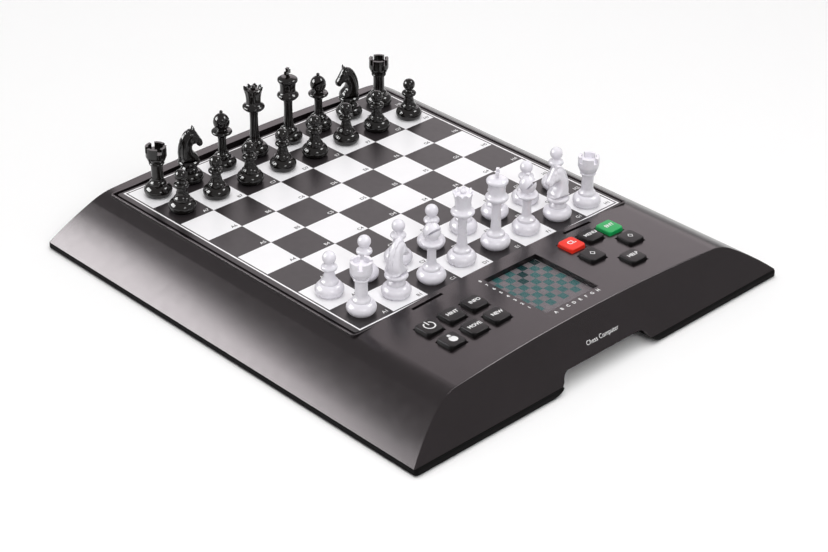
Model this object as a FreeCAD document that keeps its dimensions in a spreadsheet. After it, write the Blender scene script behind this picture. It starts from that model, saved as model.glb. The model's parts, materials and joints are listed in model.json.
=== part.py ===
import FreeCAD, Part
import Sketcher
import math
import os

from FreeCAD import Placement, Rotation, Vector

# Electronic chess computer: a low case with a pressure-sensitive board, a display,
# twelve keys and a full set of turned chessmen.
# Millimetres. X to the player's right, Y away from the player, Z up.
# The origin is the centre of the case's footprint, on the table.

doc = FreeCAD.newDocument("ChessComputer")

# ------------------------------------------------------------------ dimensions
DIMENSIONS = [
    # case
    ("case_width", 282.0, "width at the foot"),
    ("case_depth", 306.0, "depth at the foot"),
    ("foot_gap", 1.0, "height of the case above the table"),
    ("band_height", 3.5, "visible height of the lower case"),
    ("crown_height", 31.0, "top of the deck on the centre line"),
    ("deck_radius", 1586.0, "crown of the deck"),
    ("shoulder_radius", 34.0, "roll from deck to flank"),
    ("shoulder_end", 114.0, "where the roll meets the flank"),
    ("flank_radius", 161.0, "bulge of the flank"),
    ("front_lean", 0.58, "run over rise of the front face"),
    ("back_lean", 0.32, "run over rise of the back face"),
    ("band_reveal", 1.2, "lower case beyond the upper case, front and back"),
    ("wall", 2.4, "shell thickness"),
    ("edge_round", 0.7, "edge radius of the shell"),
    # board
    ("board_offset", 32.0, "board centre behind the case centre"),
    ("square_pitch", 25.0, "one square of the board"),
    ("board_top", 28.8, "playing surface above the table"),
    ("board_width", 206.2, "board panel across"),
    ("board_depth", 202.8, "board panel front to back"),
    ("board_x", -0.8, "middle of the board panel from the centre line"),
    ("board_y", 32.6, "middle of the board panel behind the case centre"),
    ("board_thickness", 2.0, "board panel"),
    ("membrane_size", 198.0, "edge of the sensor membrane"),
    ("membrane_thickness", 0.6, "sensor membrane"),
    ("tray_size", 210.0, "block under the board, less its walls"),
    ("tray_width", 209.4, "recess for the board across"),
    ("tray_depth", 206.0, "recess for the board front to back"),
    ("tray_x", -0.5, "middle of the recess from the centre line"),
    ("tray_y", 34.0, "middle of the recess behind the case centre"),
    ("tray_floor", 2.0, "thickness of the recess floor"),
    ("rim_width", 1.0, "raised rim round the recess"),
    ("rim_round", 0.25, "top edges of the rim"),
    ("rim_corner", 2.0, "corners of the rim"),
    ("rim_drop", 0.25, "rim below the playing surface"),
    ("slot_length", 22.0, "finger slot in front of the board"),
    ("slot_width", 2.0, "finger slot, front to back"),
    ("slot_spacing", 58.2, "finger slot from the middle of the pair"),
    ("slot_x", 1.6, "middle of the pair of slots from the centre line"),
    ("slot_y", -73.1, "finger slots, front of the case centre"),
    # display
    ("display_width", 40.4, "window across"),
    ("display_depth", 46.3, "window front to back"),
    ("display_centre", -101.65, "window centre, front of the case centre"),
    ("display_drop", 2.3, "window below the crown"),
    ("window_thickness", 1.0, "clear window"),
    ("module_thickness", 3.4, "display module"),
    # keys
    ("key_width", 11.8, "key at the deck, across"),
    ("key_depth", 11.8, "key at the deck, front to back"),
    ("key_rise", 2.1, "key above the deck"),
    ("key_inset", 0.6, "taper of the key on each side"),
    ("key_corner", 2.0, "corners of the key"),
    ("key_round", 0.7, "top edge of the key"),
    ("key_gap", 0.3, "clearance round a key"),
    ("key_travel", 1.0, "press of a key"),
    ("flange_lip", 1.0, "key flange beyond the key"),
    ("flange_height", 1.2, "key flange"),
    ("flange_gap", 0.65, "key flange below the deck at its middle"),
    ("left_keys_x", -57.8, "middle column of the left keys"),
    ("left_pitch", 16.5, "left key spacing"),
    ("left_keys_y", -92.9, "back row of the left keys"),
    ("right_keys_x", 56.9, "middle column of the right keys"),
    ("right_pitch", 15.6, "right key spacing"),
    ("right_keys_y", -85.8, "back row of the right keys"),
    # electronics
    ("circuit_width", 180.0, "circuit board across"),
    ("circuit_depth", 50.0, "circuit board front to back"),
    ("circuit_height", 19.5, "underside of the circuit board"),
    ("circuit_thickness", 1.6, "circuit board"),
    ("mat_thickness", 1.0, "key mat"),
    ("speaker_radius", 14.0, "sounder"),
    ("speaker_height", 5.0, "sounder"),
    ("speaker_place_x", 60.0, "sounder from the centre line"),
    ("speaker_place_y", -40.0, "sounder from the case centre"),
    # hand recess in the front edge
    ("recess_width", 66.0, "hand recess across"),
    ("recess_height", 9.4, "hand recess above the foot"),
    ("recess_flare", 10.5, "flare of the recess at the foot"),
    ("recess_depth", 27.0, "hand recess front to back"),
    # battery bay
    ("cell_radius", 7.1, "cell"),
    ("cell_length", 50.5, "cell"),
    ("cell_pitch", 15.2, "cell spacing"),
    ("bay_length", 57.0, "battery bay inside"),
    ("bay_centre", 90.0, "battery bay behind the case centre"),
    ("door_width", 53.4, "battery door across"),
    ("door_depth", 43.4, "battery door front to back"),
    ("door_thickness", 2.0, "battery door"),
    ("door_gap", 0.3, "clearance round the door"),
    # fasteners and feet
    ("screw_shank", 1.25, "screw shank radius"),
    ("screw_head", 2.7, "screw head radius"),
    ("screw_length", 6.5, "screw below its head"),
    ("head_height", 1.8, "screw head"),
    ("boss_radius", 4.2, "screw boss"),
    ("pad_radius", 6.0, "rubber foot"),
    ("pad_height", 1.6, "rubber foot"),
    # chessmen
    ("bead_middle", 3.7, "widest part of a man's foot above the board"),
    ("bead_top", 6.6, "top of the bead of a man's foot"),
    ("step_foot", 7.7, "foot of the step above the bead"),
    ("step_top", 8.4, "top of the step above the bead"),
    ("pawn_base", 7.95, "pawn, largest radius"),
    ("pawn_height", 25.7, "pawn"),
    ("rook_base", 8.15, "rook, largest radius"),
    ("rook_height", 30.8, "rook"),
    ("rook_notch", 2.6, "notch through the rook's parapet"),
    ("knight_base", 8.2, "knight, largest radius"),
    ("knight_height", 34.0, "knight"),
    ("knight_collar", 13.8, "knight, top of the collar"),
    ("bishop_base", 8.1, "bishop, largest radius"),
    ("bishop_height", 36.8, "bishop"),
    ("bishop_slit", 0.8, "slit in the bishop's mitre"),
    ("queen_base", 8.2, "queen, largest radius"),
    ("queen_height", 44.6, "queen"),
    ("queen_hollow", 1.7, "radius of the hollows in the queen's coronet"),
    ("queen_reach", 4.3, "foot of a hollow from the queen's axis"),
    ("king_base", 8.35, "king, largest radius"),
    ("king_height", 48.0, "king with its cross"),
    ("king_dome", 42.6, "king below its cross"),
]

sheet = doc.addObject("Spreadsheet::Sheet", "Dimensions")
for row, (alias, value, note) in enumerate(DIMENSIONS, start=1):
    sheet.set("A%d" % row, alias)
    sheet.set("B%d" % row, str(value))
    sheet.setAlias("B%d" % row, alias)
    sheet.set("C%d" % row, note)
doc.recompute()


def size(alias):
    """Value of a driving dimension."""
    return float(getattr(sheet, alias))


# ------------------------------------------------------------------ helpers
PARTS = []
PLANES = {"XY": "XY_Plane", "XZ": "XZ_Plane", "YZ": "YZ_Plane"}


def keep(obj, label, place=None):
    """Name an object as a part of the assembly and put it in place."""
    obj.Label = label
    if place is not None:
        obj.Placement = place
    PARTS.append(obj)
    return obj


def bind(obj, **expressions):
    """Bind properties of an object to the spreadsheet."""
    for name, expression in expressions.items():
        obj.setExpression(name, expression)
    return obj


def place_bound(obj, x="0", y="0", z="0"):
    """Bind an object's position to the spreadsheet."""
    obj.setExpression("Placement.Base.x", x)
    obj.setExpression("Placement.Base.y", y)
    obj.setExpression("Placement.Base.z", z)
    return obj


def box(name, length, width, height, x="0", y="0", z="0", centred=True):
    """A box whose sizes and place follow expressions, centred in X and Y by default."""
    item = doc.addObject("Part::Box", name)
    bind(item, Length=length, Width=width, Height=height)
    if centred:
        x = "(%s) - (%s) / 2" % (x, length)
        y = "(%s) - (%s) / 2" % (y, width)
    return place_bound(item, x, y, z)


def cylinder(name, radius, height, x="0", y="0", z="0"):
    """An upright cylinder whose sizes and place follow expressions."""
    item = doc.addObject("Part::Cylinder", name)
    bind(item, Radius=radius, Height=height)
    return place_bound(item, x, y, z)


def fuse(name, items):
    """Union of several objects."""
    joined = doc.addObject("Part::MultiFuse", name)
    joined.Shapes = items
    return joined


def cut(name, base, tool):
    """One object less another."""
    result = doc.addObject("Part::Cut", name)
    result.Base = base
    result.Tool = tool
    return result


def common(name, items):
    """Intersection of several objects."""
    shared = doc.addObject("Part::MultiCommon", name)
    shared.Shapes = items
    return shared


def new_body(name):
    return doc.addObject("PartDesign::Body", name)


def new_sketch(body, name, plane):
    """A sketch on one of its own body's origin planes."""
    sketch = body.newObject("Sketcher::SketchObject", name)
    role = PLANES[plane]
    support = [item for item in body.Origin.OriginFeatures if item.Role == role][0]
    sketch.AttachmentSupport = [(support, "")]
    sketch.MapMode = "FlatFace"
    return sketch


def draw_loop(sketch, points, bulges=None):
    """Closed outline: straight sides, or an arc where a side has a point to pass through."""
    bulges = bulges or {}
    count = len(points)
    for index, start in enumerate(points):
        end = points[(index + 1) % count]
        first = Vector(start[0], start[1], 0)
        last = Vector(end[0], end[1], 0)
        if index in bulges:
            through = Vector(bulges[index][0], bulges[index][1], 0)
            sketch.addGeometry(Part.Arc(first, through, last), False)
        else:
            sketch.addGeometry(Part.LineSegment(first, last), False)
    join_ends(sketch, count)


def join_ends(sketch, count):
    """Coincident corners, whichever end of an arc lies at the corner."""
    for index in range(count):
        following = (index + 1) % count
        best = None
        for here in (1, 2):
            for there in (1, 2):
                gap = sketch.getPoint(index, here).distanceToPoint(sketch.getPoint(following, there))
                if best is None or gap < best[0]:
                    best = (gap, here, there)
        sketch.addConstraint(Sketcher.Constraint("Coincident", index, best[1], following, best[2]))


def vertex_end(sketch, index, point):
    """Which end of a curve lies on a point."""
    target = Vector(point[0], point[1], 0)
    first = sketch.getPoint(index, 1).distanceToPoint(target)
    return 1 if first < 1e-6 else 2


def pin_vertex(sketch, index, point, name, x_rule=None, y_rule=None):
    """Bind a corner's coordinates to expressions."""
    end = vertex_end(sketch, index, point)
    if x_rule is not None:
        number = sketch.addConstraint(Sketcher.Constraint("DistanceX", -1, 1, index, end, point[0]))
        sketch.renameConstraint(number, name + "_x")
        sketch.setExpression("Constraints." + name + "_x", x_rule)
    if y_rule is not None:
        number = sketch.addConstraint(Sketcher.Constraint("DistanceY", -1, 1, index, end, point[1]))
        sketch.renameConstraint(number, name + "_y")
        sketch.setExpression("Constraints." + name + "_y", y_rule)


def pad(body, name, sketch, length, symmetric=False, taper=None):
    """Extrude a sketch by an expression."""
    feature = body.newObject("PartDesign::Pad", name)
    feature.Profile = sketch
    feature.setExpression("Length", length)
    feature.Midplane = symmetric
    if taper is not None:
        feature.TaperAngle = taper
    sketch.Visibility = False
    body.Tip = feature
    return feature


def revolve(body, name, sketch):
    """Turn a profile about the vertical axis of its sketch."""
    feature = body.newObject("PartDesign::Revolution", name)
    feature.Profile = sketch
    feature.ReferenceAxis = (sketch, ["V_Axis"])
    feature.Angle = 360.0
    body.Tip = feature
    return feature


def round_edges(body, name, radius, chosen):
    """Fillet the edges of a body that a test picks."""
    doc.recompute()
    base = body.Tip
    edges = []
    for number, edge in enumerate(base.Shape.Edges, start=1):
        heights = [vertex.Z for vertex in edge.Vertexes]
        if chosen(min(heights), max(heights), edge):
            edges.append("Edge%d" % number)
    rounding = body.newObject("PartDesign::Fillet", name)
    rounding.Base = (base, edges)
    rounding.Radius = radius
    body.Tip = rounding
    return rounding


def rectangle(body, name, plane, width, depth, x="0", y="0"):
    """Rectangle sketch with bound sizes and a bound centre."""
    sketch = new_sketch(body, name, plane)
    wide = evaluate(width) / 2
    deep = evaluate(depth) / 2
    mid_x = evaluate(x)
    mid_y = evaluate(y)
    points = [(mid_x - wide, mid_y - deep), (mid_x + wide, mid_y - deep)]
    points += [(mid_x + wide, mid_y + deep), (mid_x - wide, mid_y + deep)]
    draw_loop(sketch, points)
    left = "(%s) - (%s) / 2" % (x, width)
    right = "(%s) + (%s) / 2" % (x, width)
    near = "(%s) - (%s) / 2" % (y, depth)
    far = "(%s) + (%s) / 2" % (y, depth)
    pin_vertex(sketch, 0, points[0], "near_left", left, near)
    pin_vertex(sketch, 1, points[1], "near_right", right, near)
    pin_vertex(sketch, 2, points[2], "far_right", right, far)
    pin_vertex(sketch, 3, points[3], "far_left", left, far)
    return sketch


def evaluate(expression):
    """Number behind an expression over the spreadsheet."""
    return float(sheet.evalExpression(expression.replace("Dimensions.", "")))


# ------------------------------------------------------------------ case shell
def section_points(inset):
    """Right half of the case's cross-section, offset inwards, as joints and arc mid-points."""
    deck = size("deck_radius")
    roll = size("shoulder_radius")
    flank = size("flank_radius")
    crown = size("crown_height")
    end = size("shoulder_end")
    foot_x = size("case_width") / 2
    foot_z = size("foot_gap") + size("band_height")

    def chain(start):
        first = math.asin(start / deck)
        second = math.asin(math.sin(first) + (end - start) / roll)
        third = math.asin(math.sin(second) + (foot_x - end) / flank)
        high = crown - deck * (1 - math.cos(first))
        mid = high - roll * (math.cos(first) - math.cos(second))
        low = mid - flank * (math.cos(second) - math.cos(third))
        return first, second, third, high, mid, low

    low_guess = end - 0.8 * roll
    high_guess = end - 0.2 * roll
    for _ in range(80):
        start = (low_guess + high_guess) / 2
        if chain(start)[5] > foot_z:
            high_guess = start
        else:
            low_guess = start
    first, second, third, high, mid, low = chain(start)
    roll_centre = (start - roll * math.sin(first), high - roll * math.cos(first))
    flank_centre = (end - flank * math.sin(second), mid - flank * math.cos(second))

    def on(centre, radius, angle):
        reach = radius - inset
        return (centre[0] + reach * math.sin(angle), centre[1] + reach * math.cos(angle))

    deck_centre = (0.0, crown - deck)
    joints = [on(deck_centre, deck, first), on(roll_centre, roll, second), on(flank_centre, flank, third)]
    middles = [on(roll_centre, roll, (first + second) / 2), on(flank_centre, flank, (second + third) / 2)]
    return joints, middles


def shell_body(name, inset, floor, length):
    """Prism of the case's cross-section along Y, with a flat underside at the floor height."""
    joints, middles = section_points(inset)
    top = size("crown_height") - inset
    foot_x, foot_z = joints[2]
    points = [(foot_x, foot_z), joints[1], joints[0]]
    points += [(-joints[0][0], joints[0][1]), (-joints[1][0], joints[1][1]), (-foot_x, foot_z)]
    if foot_z - floor > 0.01:
        points += [(-foot_x, floor), (foot_x, floor)]
    bulges = {0: middles[1], 1: middles[0], 2: (0.0, top)}
    bulges[3] = (-middles[0][0], middles[0][1])
    bulges[4] = (-middles[1][0], middles[1][1])
    body = new_body(name)
    sketch = new_sketch(body, name + "Section", "XZ")
    draw_loop(sketch, points, bulges)
    for index, radius in ((0, "flank_radius"), (1, "shoulder_radius"), (2, "deck_radius")):
        rule = "Dimensions.%s - %s" % (radius, inset)
        number = sketch.addConstraint(Sketcher.Constraint("Radius", index, size(radius) - inset))
        sketch.renameConstraint(number, radius)
        sketch.setExpression("Constraints." + radius, rule)
    pad(body, name + "Length", sketch, length, symmetric=True)
    return body


def lean_cutter(name, side, inset):
    """Wedge that trims the front (side -1) or back (side 1) of the shell to its lean."""
    rule = size("front_lean") if side < 0 else size("back_lean")
    foot = size("foot_gap") + size("band_height")
    reach = size("case_depth") / 2 - size("band_reveal") - inset * math.sqrt(1 + rule * rule)
    top = size("crown_height") + 10
    far = size("case_depth")
    points = [(side * reach, foot), (side * (reach - rule * (top - foot)), top)]
    points += [(side * far, top), (side * far, foot - 30), (side * (reach + rule * 30), foot - 30)]
    body = new_body(name)
    sketch = new_sketch(body, name + "Side", "YZ")
    draw_loop(sketch, points)
    pin_vertex(sketch, 0, points[0], "foot", None, "Dimensions.foot_gap + Dimensions.band_height")
    pad(body, name + "Width", sketch, "Dimensions.case_width * 1.5", symmetric=True)
    return body


def trimmed_shell(name, inset, floor, length):
    """The case's outer form, or the space inside it when inset."""
    prism = shell_body(name + "Prism", inset, floor, length)
    front = lean_cutter(name + "Front", -1, inset)
    back = lean_cutter(name + "Back", 1, inset)
    return cut(name, prism, fuse(name + "Wedges", [front, back]))


def long_edges(shape):
    """Edges round the leaning front and back faces, above the split line."""
    found = []
    split = size("foot_gap") + size("band_height")
    for number, edge in enumerate(shape.Edges, start=1):
        heights = [vertex.Z for vertex in edge.Vertexes]
        depths = [vertex.Y for vertex in edge.Vertexes]
        crosses = min(depths) < 0 < max(depths)
        if max(heights) > split + 1.0 and not crosses:
            found.append(number)
    return found


split_height = size("foot_gap") + size("band_height")
outer = trimmed_shell("CaseOuter", 0.0, split_height, "Dimensions.case_depth + 20")
doc.recompute()
rounded = doc.addObject("Part::Fillet", "CaseRounded")
rounded.Base = outer
radius = size("edge_round")
rounded.Edges = [(number, radius, radius) for number in long_edges(outer.Shape)]
doc.recompute()

cavity = trimmed_shell("CaseCavity", size("wall"), split_height - 8.0, "Dimensions.case_depth + 20")

TRAY_X = "Dimensions.tray_x"
TRAY_Y = "Dimensions.tray_y"
BOARD_Y = "Dimensions.board_offset"
TRAY_TOP = "Dimensions.board_top - Dimensions.board_thickness - Dimensions.membrane_thickness"
TRAY_WALL = "Dimensions.tray_size + 2 * Dimensions.wall"
TRAY_UNDER = TRAY_TOP + " - Dimensions.tray_floor"
tray_block = box("TrayBlock", TRAY_WALL, TRAY_WALL, "20", "0", BOARD_Y, TRAY_UNDER)

DISPLAY_Y = "Dimensions.display_centre"
WINDOW_TOP = "Dimensions.crown_height - Dimensions.display_drop"
WINDOW_UNDER = WINDOW_TOP + " - Dimensions.window_thickness"
well = box(
    "DisplayWell",
    "Dimensions.display_width + 2 * Dimensions.wall",
    "Dimensions.display_depth + 2 * (Dimensions.wall - 0.6)",
    "20", "0", DISPLAY_Y, WINDOW_UNDER,
)

CASE_SCREWS = [(side * 114.0, depth) for side in (-1, 1) for depth in (-124.0, 30.0, 134.0)]
BOSS_FOOT = split_height + 2.2
bosses = []
for number, (x, y) in enumerate(CASE_SCREWS, start=1):
    name = "CaseBoss%d" % number
    bosses.append(cylinder(name, "Dimensions.boss_radius", "40", str(x), str(y), str(BOSS_FOOT)))

CIRCUIT_Y = size("display_centre")
CIRCUIT_SCREWS = [(side * 86.0, CIRCUIT_Y + depth) for side in (-1, 1) for depth in (-21.0, 21.0)]
CIRCUIT_TOP = "Dimensions.circuit_height + Dimensions.circuit_thickness"
for number, (x, y) in enumerate(CIRCUIT_SCREWS, start=1):
    name = "CircuitPost%d" % number
    bosses.append(cylinder(name, "2.6", "40", str(x), str(y), CIRCUIT_TOP))

inner_blocks = fuse("CaseInner", [tray_block, well] + bosses)
kept_blocks = common("CaseInnerTrimmed", [rounded, inner_blocks])

RIM_WIDTH = "Dimensions.tray_width + 2 * Dimensions.rim_width"
RIM_DEPTH = "Dimensions.tray_depth + 2 * Dimensions.rim_width"
RIM_TOP = "Dimensions.board_top - Dimensions.rim_drop"
rim = box("Rim", RIM_WIDTH, RIM_DEPTH, "(%s) - (%s)" % (RIM_TOP, TRAY_UNDER), TRAY_X, TRAY_Y, TRAY_UNDER)
rim_rounded = doc.addObject("Part::Fillet", "RimRounded")
rim_rounded.Base = rim
doc.recompute()
rim_edges = []
rim_high = evaluate(RIM_TOP)
for number, edge in enumerate(rim.Shape.Edges, start=1):
    heights = [vertex.Z for vertex in edge.Vertexes]
    if min(heights) > rim_high - 0.01:
        rim_edges.append((number, size("rim_round"), size("rim_round")))
    elif max(heights) > rim_high - 0.01:
        rim_edges.append((number, size("rim_corner"), size("rim_corner")))
rim_rounded.Edges = rim_edges

hollow_case = cut("CaseHollow", rounded, cavity)
full_case = fuse("CaseFull", [hollow_case, kept_blocks, rim_rounded])


# ------------------------------------------------------------------ keys
def deck_at(x):
    """Height of the deck at a distance from the centre line."""
    deck = size("deck_radius")
    return size("crown_height") - deck + math.sqrt(deck * deck - x * x)


KEYS = {}
LEFT_NAMES = [["power", "hint", "info"], ["piece_values", "move", "new_game"]]
for row, names in enumerate(LEFT_NAMES):
    for column, name in enumerate(names):
        x = size("left_keys_x") + (column - 1) * size("left_pitch")
        KEYS[name] = (x, size("left_keys_y") - row * size("left_pitch"))
RIGHT_NAMES = [
    ("cancel", -1, 0), ("menu", 0, 0), ("enter", 1, 0),
    ("cursor_left", -1, 1), ("cursor_right", 1, 1), ("help", 0, 2),
]
for name, column, row in RIGHT_NAMES:
    x = size("right_keys_x") + column * size("right_pitch")
    KEYS[name] = (x, size("right_keys_y") - row * size("right_pitch"))


def make_key(name, x, y):
    """A key: a tapered cap that stands through the deck, on a wider flange below it."""
    body = new_body("Key_" + name)
    wide = "Dimensions.key_width"
    deep = "Dimensions.key_depth"
    below = "Dimensions.wall + Dimensions.flange_gap"
    flange = rectangle(body, "Flange_" + name, "XY", wide + " + 2 * Dimensions.flange_lip",
                       deep + " + 2 * Dimensions.flange_lip")
    flange.setExpression("AttachmentOffset.Base.z", "-(%s) - Dimensions.flange_height" % below)
    pad(body, "FlangePad_" + name, flange, "Dimensions.flange_height")
    stem = rectangle(body, "Stem_" + name, "XY", wide, deep)
    stem.setExpression("AttachmentOffset.Base.z", "-(%s) - 0.1" % below)
    pad(body, "StemPad_" + name, stem, below + " + 0.5")
    lean = math.degrees(math.atan(size("key_inset") / size("key_rise")))
    cap = rectangle(body, "Cap_" + name, "XY", wide, deep)
    cap.setExpression("AttachmentOffset.Base.z", "0.35")
    pad(body, "CapPad_" + name, cap, "Dimensions.key_rise - 0.35", taper=-lean)
    doc.recompute()
    if body.Shape.BoundBox.XLength > size("key_width") + 2 * size("flange_lip") + 0.01:
        body.Tip.TaperAngle = lean
        doc.recompute()
    top = size("key_rise")
    round_edges(body, "Corners_" + name, size("key_corner"),
                lambda low, high, edge: low < 1.0 and high > top - 0.01)
    round_edges(body, "Round_" + name, size("key_round"), lambda low, high, edge: low > top - 0.01)
    keep(body, "key_" + name, Placement(Vector(x, y, deck_at(x)), Rotation()))


for name, (x, y) in KEYS.items():
    make_key(name, x, y)

# ------------------------------------------------------------------ openings in the upper case
openings = [box("TrayRecess", "Dimensions.tray_width", "Dimensions.tray_depth", "20",
                TRAY_X, TRAY_Y, TRAY_TOP)]
openings.append(box("DisplayOpening", "Dimensions.display_width", "Dimensions.display_depth", "40",
                    "0", DISPLAY_Y, "Dimensions.circuit_height"))
for name, (x, y) in KEYS.items():
    hole = "Dimensions.key_width + 2 * Dimensions.key_gap"
    deep = "Dimensions.key_depth + 2 * Dimensions.key_gap"
    openings.append(box("Opening_" + name, hole, deep, "20", str(x), str(y), "Dimensions.circuit_height"))
for number, side in enumerate((-1, 1), start=1):
    openings.append(box("FingerSlot%d" % number, "Dimensions.slot_length", "Dimensions.slot_width", "20",
                        "Dimensions.slot_x + %d * Dimensions.slot_spacing" % side,
                        "Dimensions.slot_y", TRAY_TOP))
for number, (x, y) in enumerate(CASE_SCREWS, start=1):
    openings.append(cylinder("Pilot%d" % number, "Dimensions.screw_shank + 0.05",
                             "Dimensions.screw_length", str(x), str(y), str(BOSS_FOOT - 0.1)))
for number, (x, y) in enumerate(CIRCUIT_SCREWS, start=1):
    openings.append(cylinder("CircuitPilot%d" % number, "Dimensions.screw_shank + 0.05",
                             "Dimensions.screw_length - 1.5", str(x), str(y), CIRCUIT_TOP))
openings.append(box("TailSlotUpper", "32", "1.6", "20", "0", "Dimensions.board_offset - 99.4",
                    "Dimensions.circuit_height"))


def hand_recess(name, slack):
    """Arched prism that clears the hand recess in the front edge."""
    half = size("recess_width") / 2 + slack
    flare = half + size("recess_flare")
    foot = size("foot_gap")
    top = foot + size("recess_height") + slack
    turn = 6.0
    points = [(-flare, foot - 5), (-flare, foot), (-half - 3.2, foot + 2.2), (-half, foot + 5.2)]
    points += [(-half + turn, top), (half - turn, top)]
    points += [(half, foot + 5.2), (half + 3.2, foot + 2.2), (flare, foot), (flare, foot - 5)]
    bulges = {
        1: (-half - 5.4, foot + 0.9),
        3: (-half + 2.0, top - 1.3),
        5: (half - 2.0, top - 1.3),
        7: (half + 5.4, foot + 0.9),
    }
    body = new_body(name)
    sketch = new_sketch(body, name + "Arch", "XZ")
    draw_loop(sketch, points, bulges)
    pin_vertex(sketch, 5, points[5], "top", None,
               "Dimensions.foot_gap + Dimensions.recess_height + %s" % slack)
    pad(body, name + "Run", sketch, "Dimensions.recess_depth + 6")
    body.Placement = Placement(Vector(0, -size("case_depth") / 2 + size("recess_depth"), 0), Rotation())
    doc.recompute()
    if body.Shape.BoundBox.YMax > -size("case_depth") / 2 + size("recess_depth") + 0.01:
        body.Tip.Reversed = True
    return body


openings.append(hand_recess("RecessUpper", 0.0))
opening_set = fuse("CaseOpenings", openings)
keep(cut("UpperCase", full_case, opening_set), "upper_case")

# ------------------------------------------------------------------ lower case
lower_plan = new_body("LowerPlate")
plan = rectangle(lower_plan, "LowerPlan", "XY", "Dimensions.case_width", "Dimensions.case_depth")
plan.setExpression("AttachmentOffset.Base.z", "Dimensions.foot_gap")
pad(lower_plan, "LowerBand", plan, "Dimensions.band_height")
round_edges(lower_plan, "LowerCorners", 2.0, lambda low, high, edge: high - low > 1.0)


def runs_across(low, high, edge):
    """Top edges along the front and back of the band."""
    return low > split_height - 0.01 and edge.BoundBox.XLength > 50


round_edges(lower_plan, "LowerShoulder", 0.9, runs_across)

PLATE_TOP = "Dimensions.foot_gap + 2.2"
tray_hollow = box("LowerHollow", "Dimensions.case_width - 7.2", "Dimensions.case_depth - 7.2", "20",
                  "0", "0", PLATE_TOP)
lower_shell = cut("LowerShell", lower_plan, tray_hollow)
LIP_X = "Dimensions.case_width - 20"
LIP_Y = "Dimensions.case_depth - 17"
lip_outer = box("LipOuter", LIP_X, LIP_Y, "4.2", "0", "0", PLATE_TOP)
lip_inner = box("LipInner", LIP_X + " - 3.2", LIP_Y + " - 3.2", "9", "0", "0", "Dimensions.foot_gap")
lip = cut("LocatingLip", lip_outer, lip_inner)

scoop = box("HandScoop", "Dimensions.recess_width + 2 * Dimensions.recess_flare + 6",
            "Dimensions.recess_depth - 2.4", "Dimensions.recess_height + 2.2", "0",
            "-Dimensions.case_depth / 2 + Dimensions.recess_depth / 2 + 4.6", "Dimensions.foot_gap")
scoop_front = box("ScoopFront", "Dimensions.recess_width + 2 * Dimensions.recess_flare + 20", "14", "30",
                  "0", "-Dimensions.case_depth / 2 + 3.6", PLATE_TOP)
scoop_trim = cut("ScoopTrimmed", scoop, scoop_front)

BAY_Y = "Dimensions.bay_centre"
bay_outer = box("BayOuter", "Dimensions.bay_length + 4", "3 * Dimensions.cell_pitch + 5.6", "19.5",
                "0", BAY_Y, "Dimensions.foot_gap")
boss_low = []
for number, (x, y) in enumerate(CASE_SCREWS, start=1):
    boss_low.append(cylinder("LowBoss%d" % number, "Dimensions.boss_radius + 0.6",
                             str(BOSS_FOOT - 0.1) + " - Dimensions.foot_gap", str(x), str(y),
                             "Dimensions.foot_gap"))
speaker_ring = cylinder("SpeakerRing", "Dimensions.speaker_radius + 1.8", "5.0",
                        "Dimensions.speaker_place_x", "Dimensions.speaker_place_y", "Dimensions.foot_gap")
lower_full = fuse("LowerFull", [lower_shell, lip, scoop_trim, bay_outer, speaker_ring] + boss_low)

lower_tools = [hand_recess("RecessLower", 0.0)]
lower_tools.append(box("BayInner", "Dimensions.bay_length", "3 * Dimensions.cell_pitch + 1.6", "15.8",
                       "0", BAY_Y, PLATE_TOP))
lower_tools.append(box("DoorOpening", "Dimensions.door_width + 2 * Dimensions.door_gap",
                       "Dimensions.door_depth + 2 * Dimensions.door_gap", "6", "0", BAY_Y, "0"))
for number, (x, y) in enumerate(CASE_SCREWS, start=1):
    lower_tools.append(cylinder("HeadBore%d" % number, "Dimensions.screw_head + 0.4", "3",
                                str(x), str(y), "Dimensions.foot_gap"))
    lower_tools.append(cylinder("ShankBore%d" % number, "Dimensions.screw_shank + 0.3", "12",
                                str(x), str(y), "Dimensions.foot_gap"))
FEET = [(x, y) for x in (-122.0, 122.0) for y in (-112.0, 118.0)]
for number, (x, y) in enumerate(FEET, start=1):
    lower_tools.append(cylinder("FootSeat%d" % number, "Dimensions.pad_radius + 0.15",
                                "Dimensions.pad_height - Dimensions.foot_gap", str(x), str(y),
                                "Dimensions.foot_gap"))
lower_tools.append(cylinder("SpeakerSeat", "Dimensions.speaker_radius + 0.2", "8",
                            "Dimensions.speaker_place_x", "Dimensions.speaker_place_y", PLATE_TOP))
for number in range(5):
    offset = "Dimensions.speaker_place_y + %d" % (4 * (number - 2))
    lower_tools.append(box("SpeakerSlot%d" % (number + 1), "16", "1.6", "4",
                           "Dimensions.speaker_place_x", offset, "0"))
keep(cut("LowerCase", lower_full, fuse("LowerTools", lower_tools)), "lower_case")

# ------------------------------------------------------------------ board, membrane, display
panel = new_body("BoardPanel")
outline = rectangle(panel, "PanelOutline", "XY", "Dimensions.board_width", "Dimensions.board_depth")
pad(panel, "PanelThickness", outline, "Dimensions.board_thickness")
round_edges(panel, "PanelCorners", 1.2, lambda low, high, edge: high - low > 1.0)
panel_z = size("board_top") - size("board_thickness")
keep(panel, "board_panel", Placement(Vector(size("board_x"), size("board_y"), panel_z), Rotation()))

film = box("MembraneFilm", "Dimensions.membrane_size", "Dimensions.membrane_size",
           "Dimensions.membrane_thickness", "0", BOARD_Y, TRAY_TOP)
tail = box("MembraneTail", "30", "0.5", "6.4", "0", "Dimensions.board_offset - 99.2", TRAY_TOP + " - 5.8")
keep(fuse("Membrane", [film, tail]), "sensor_membrane")

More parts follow.
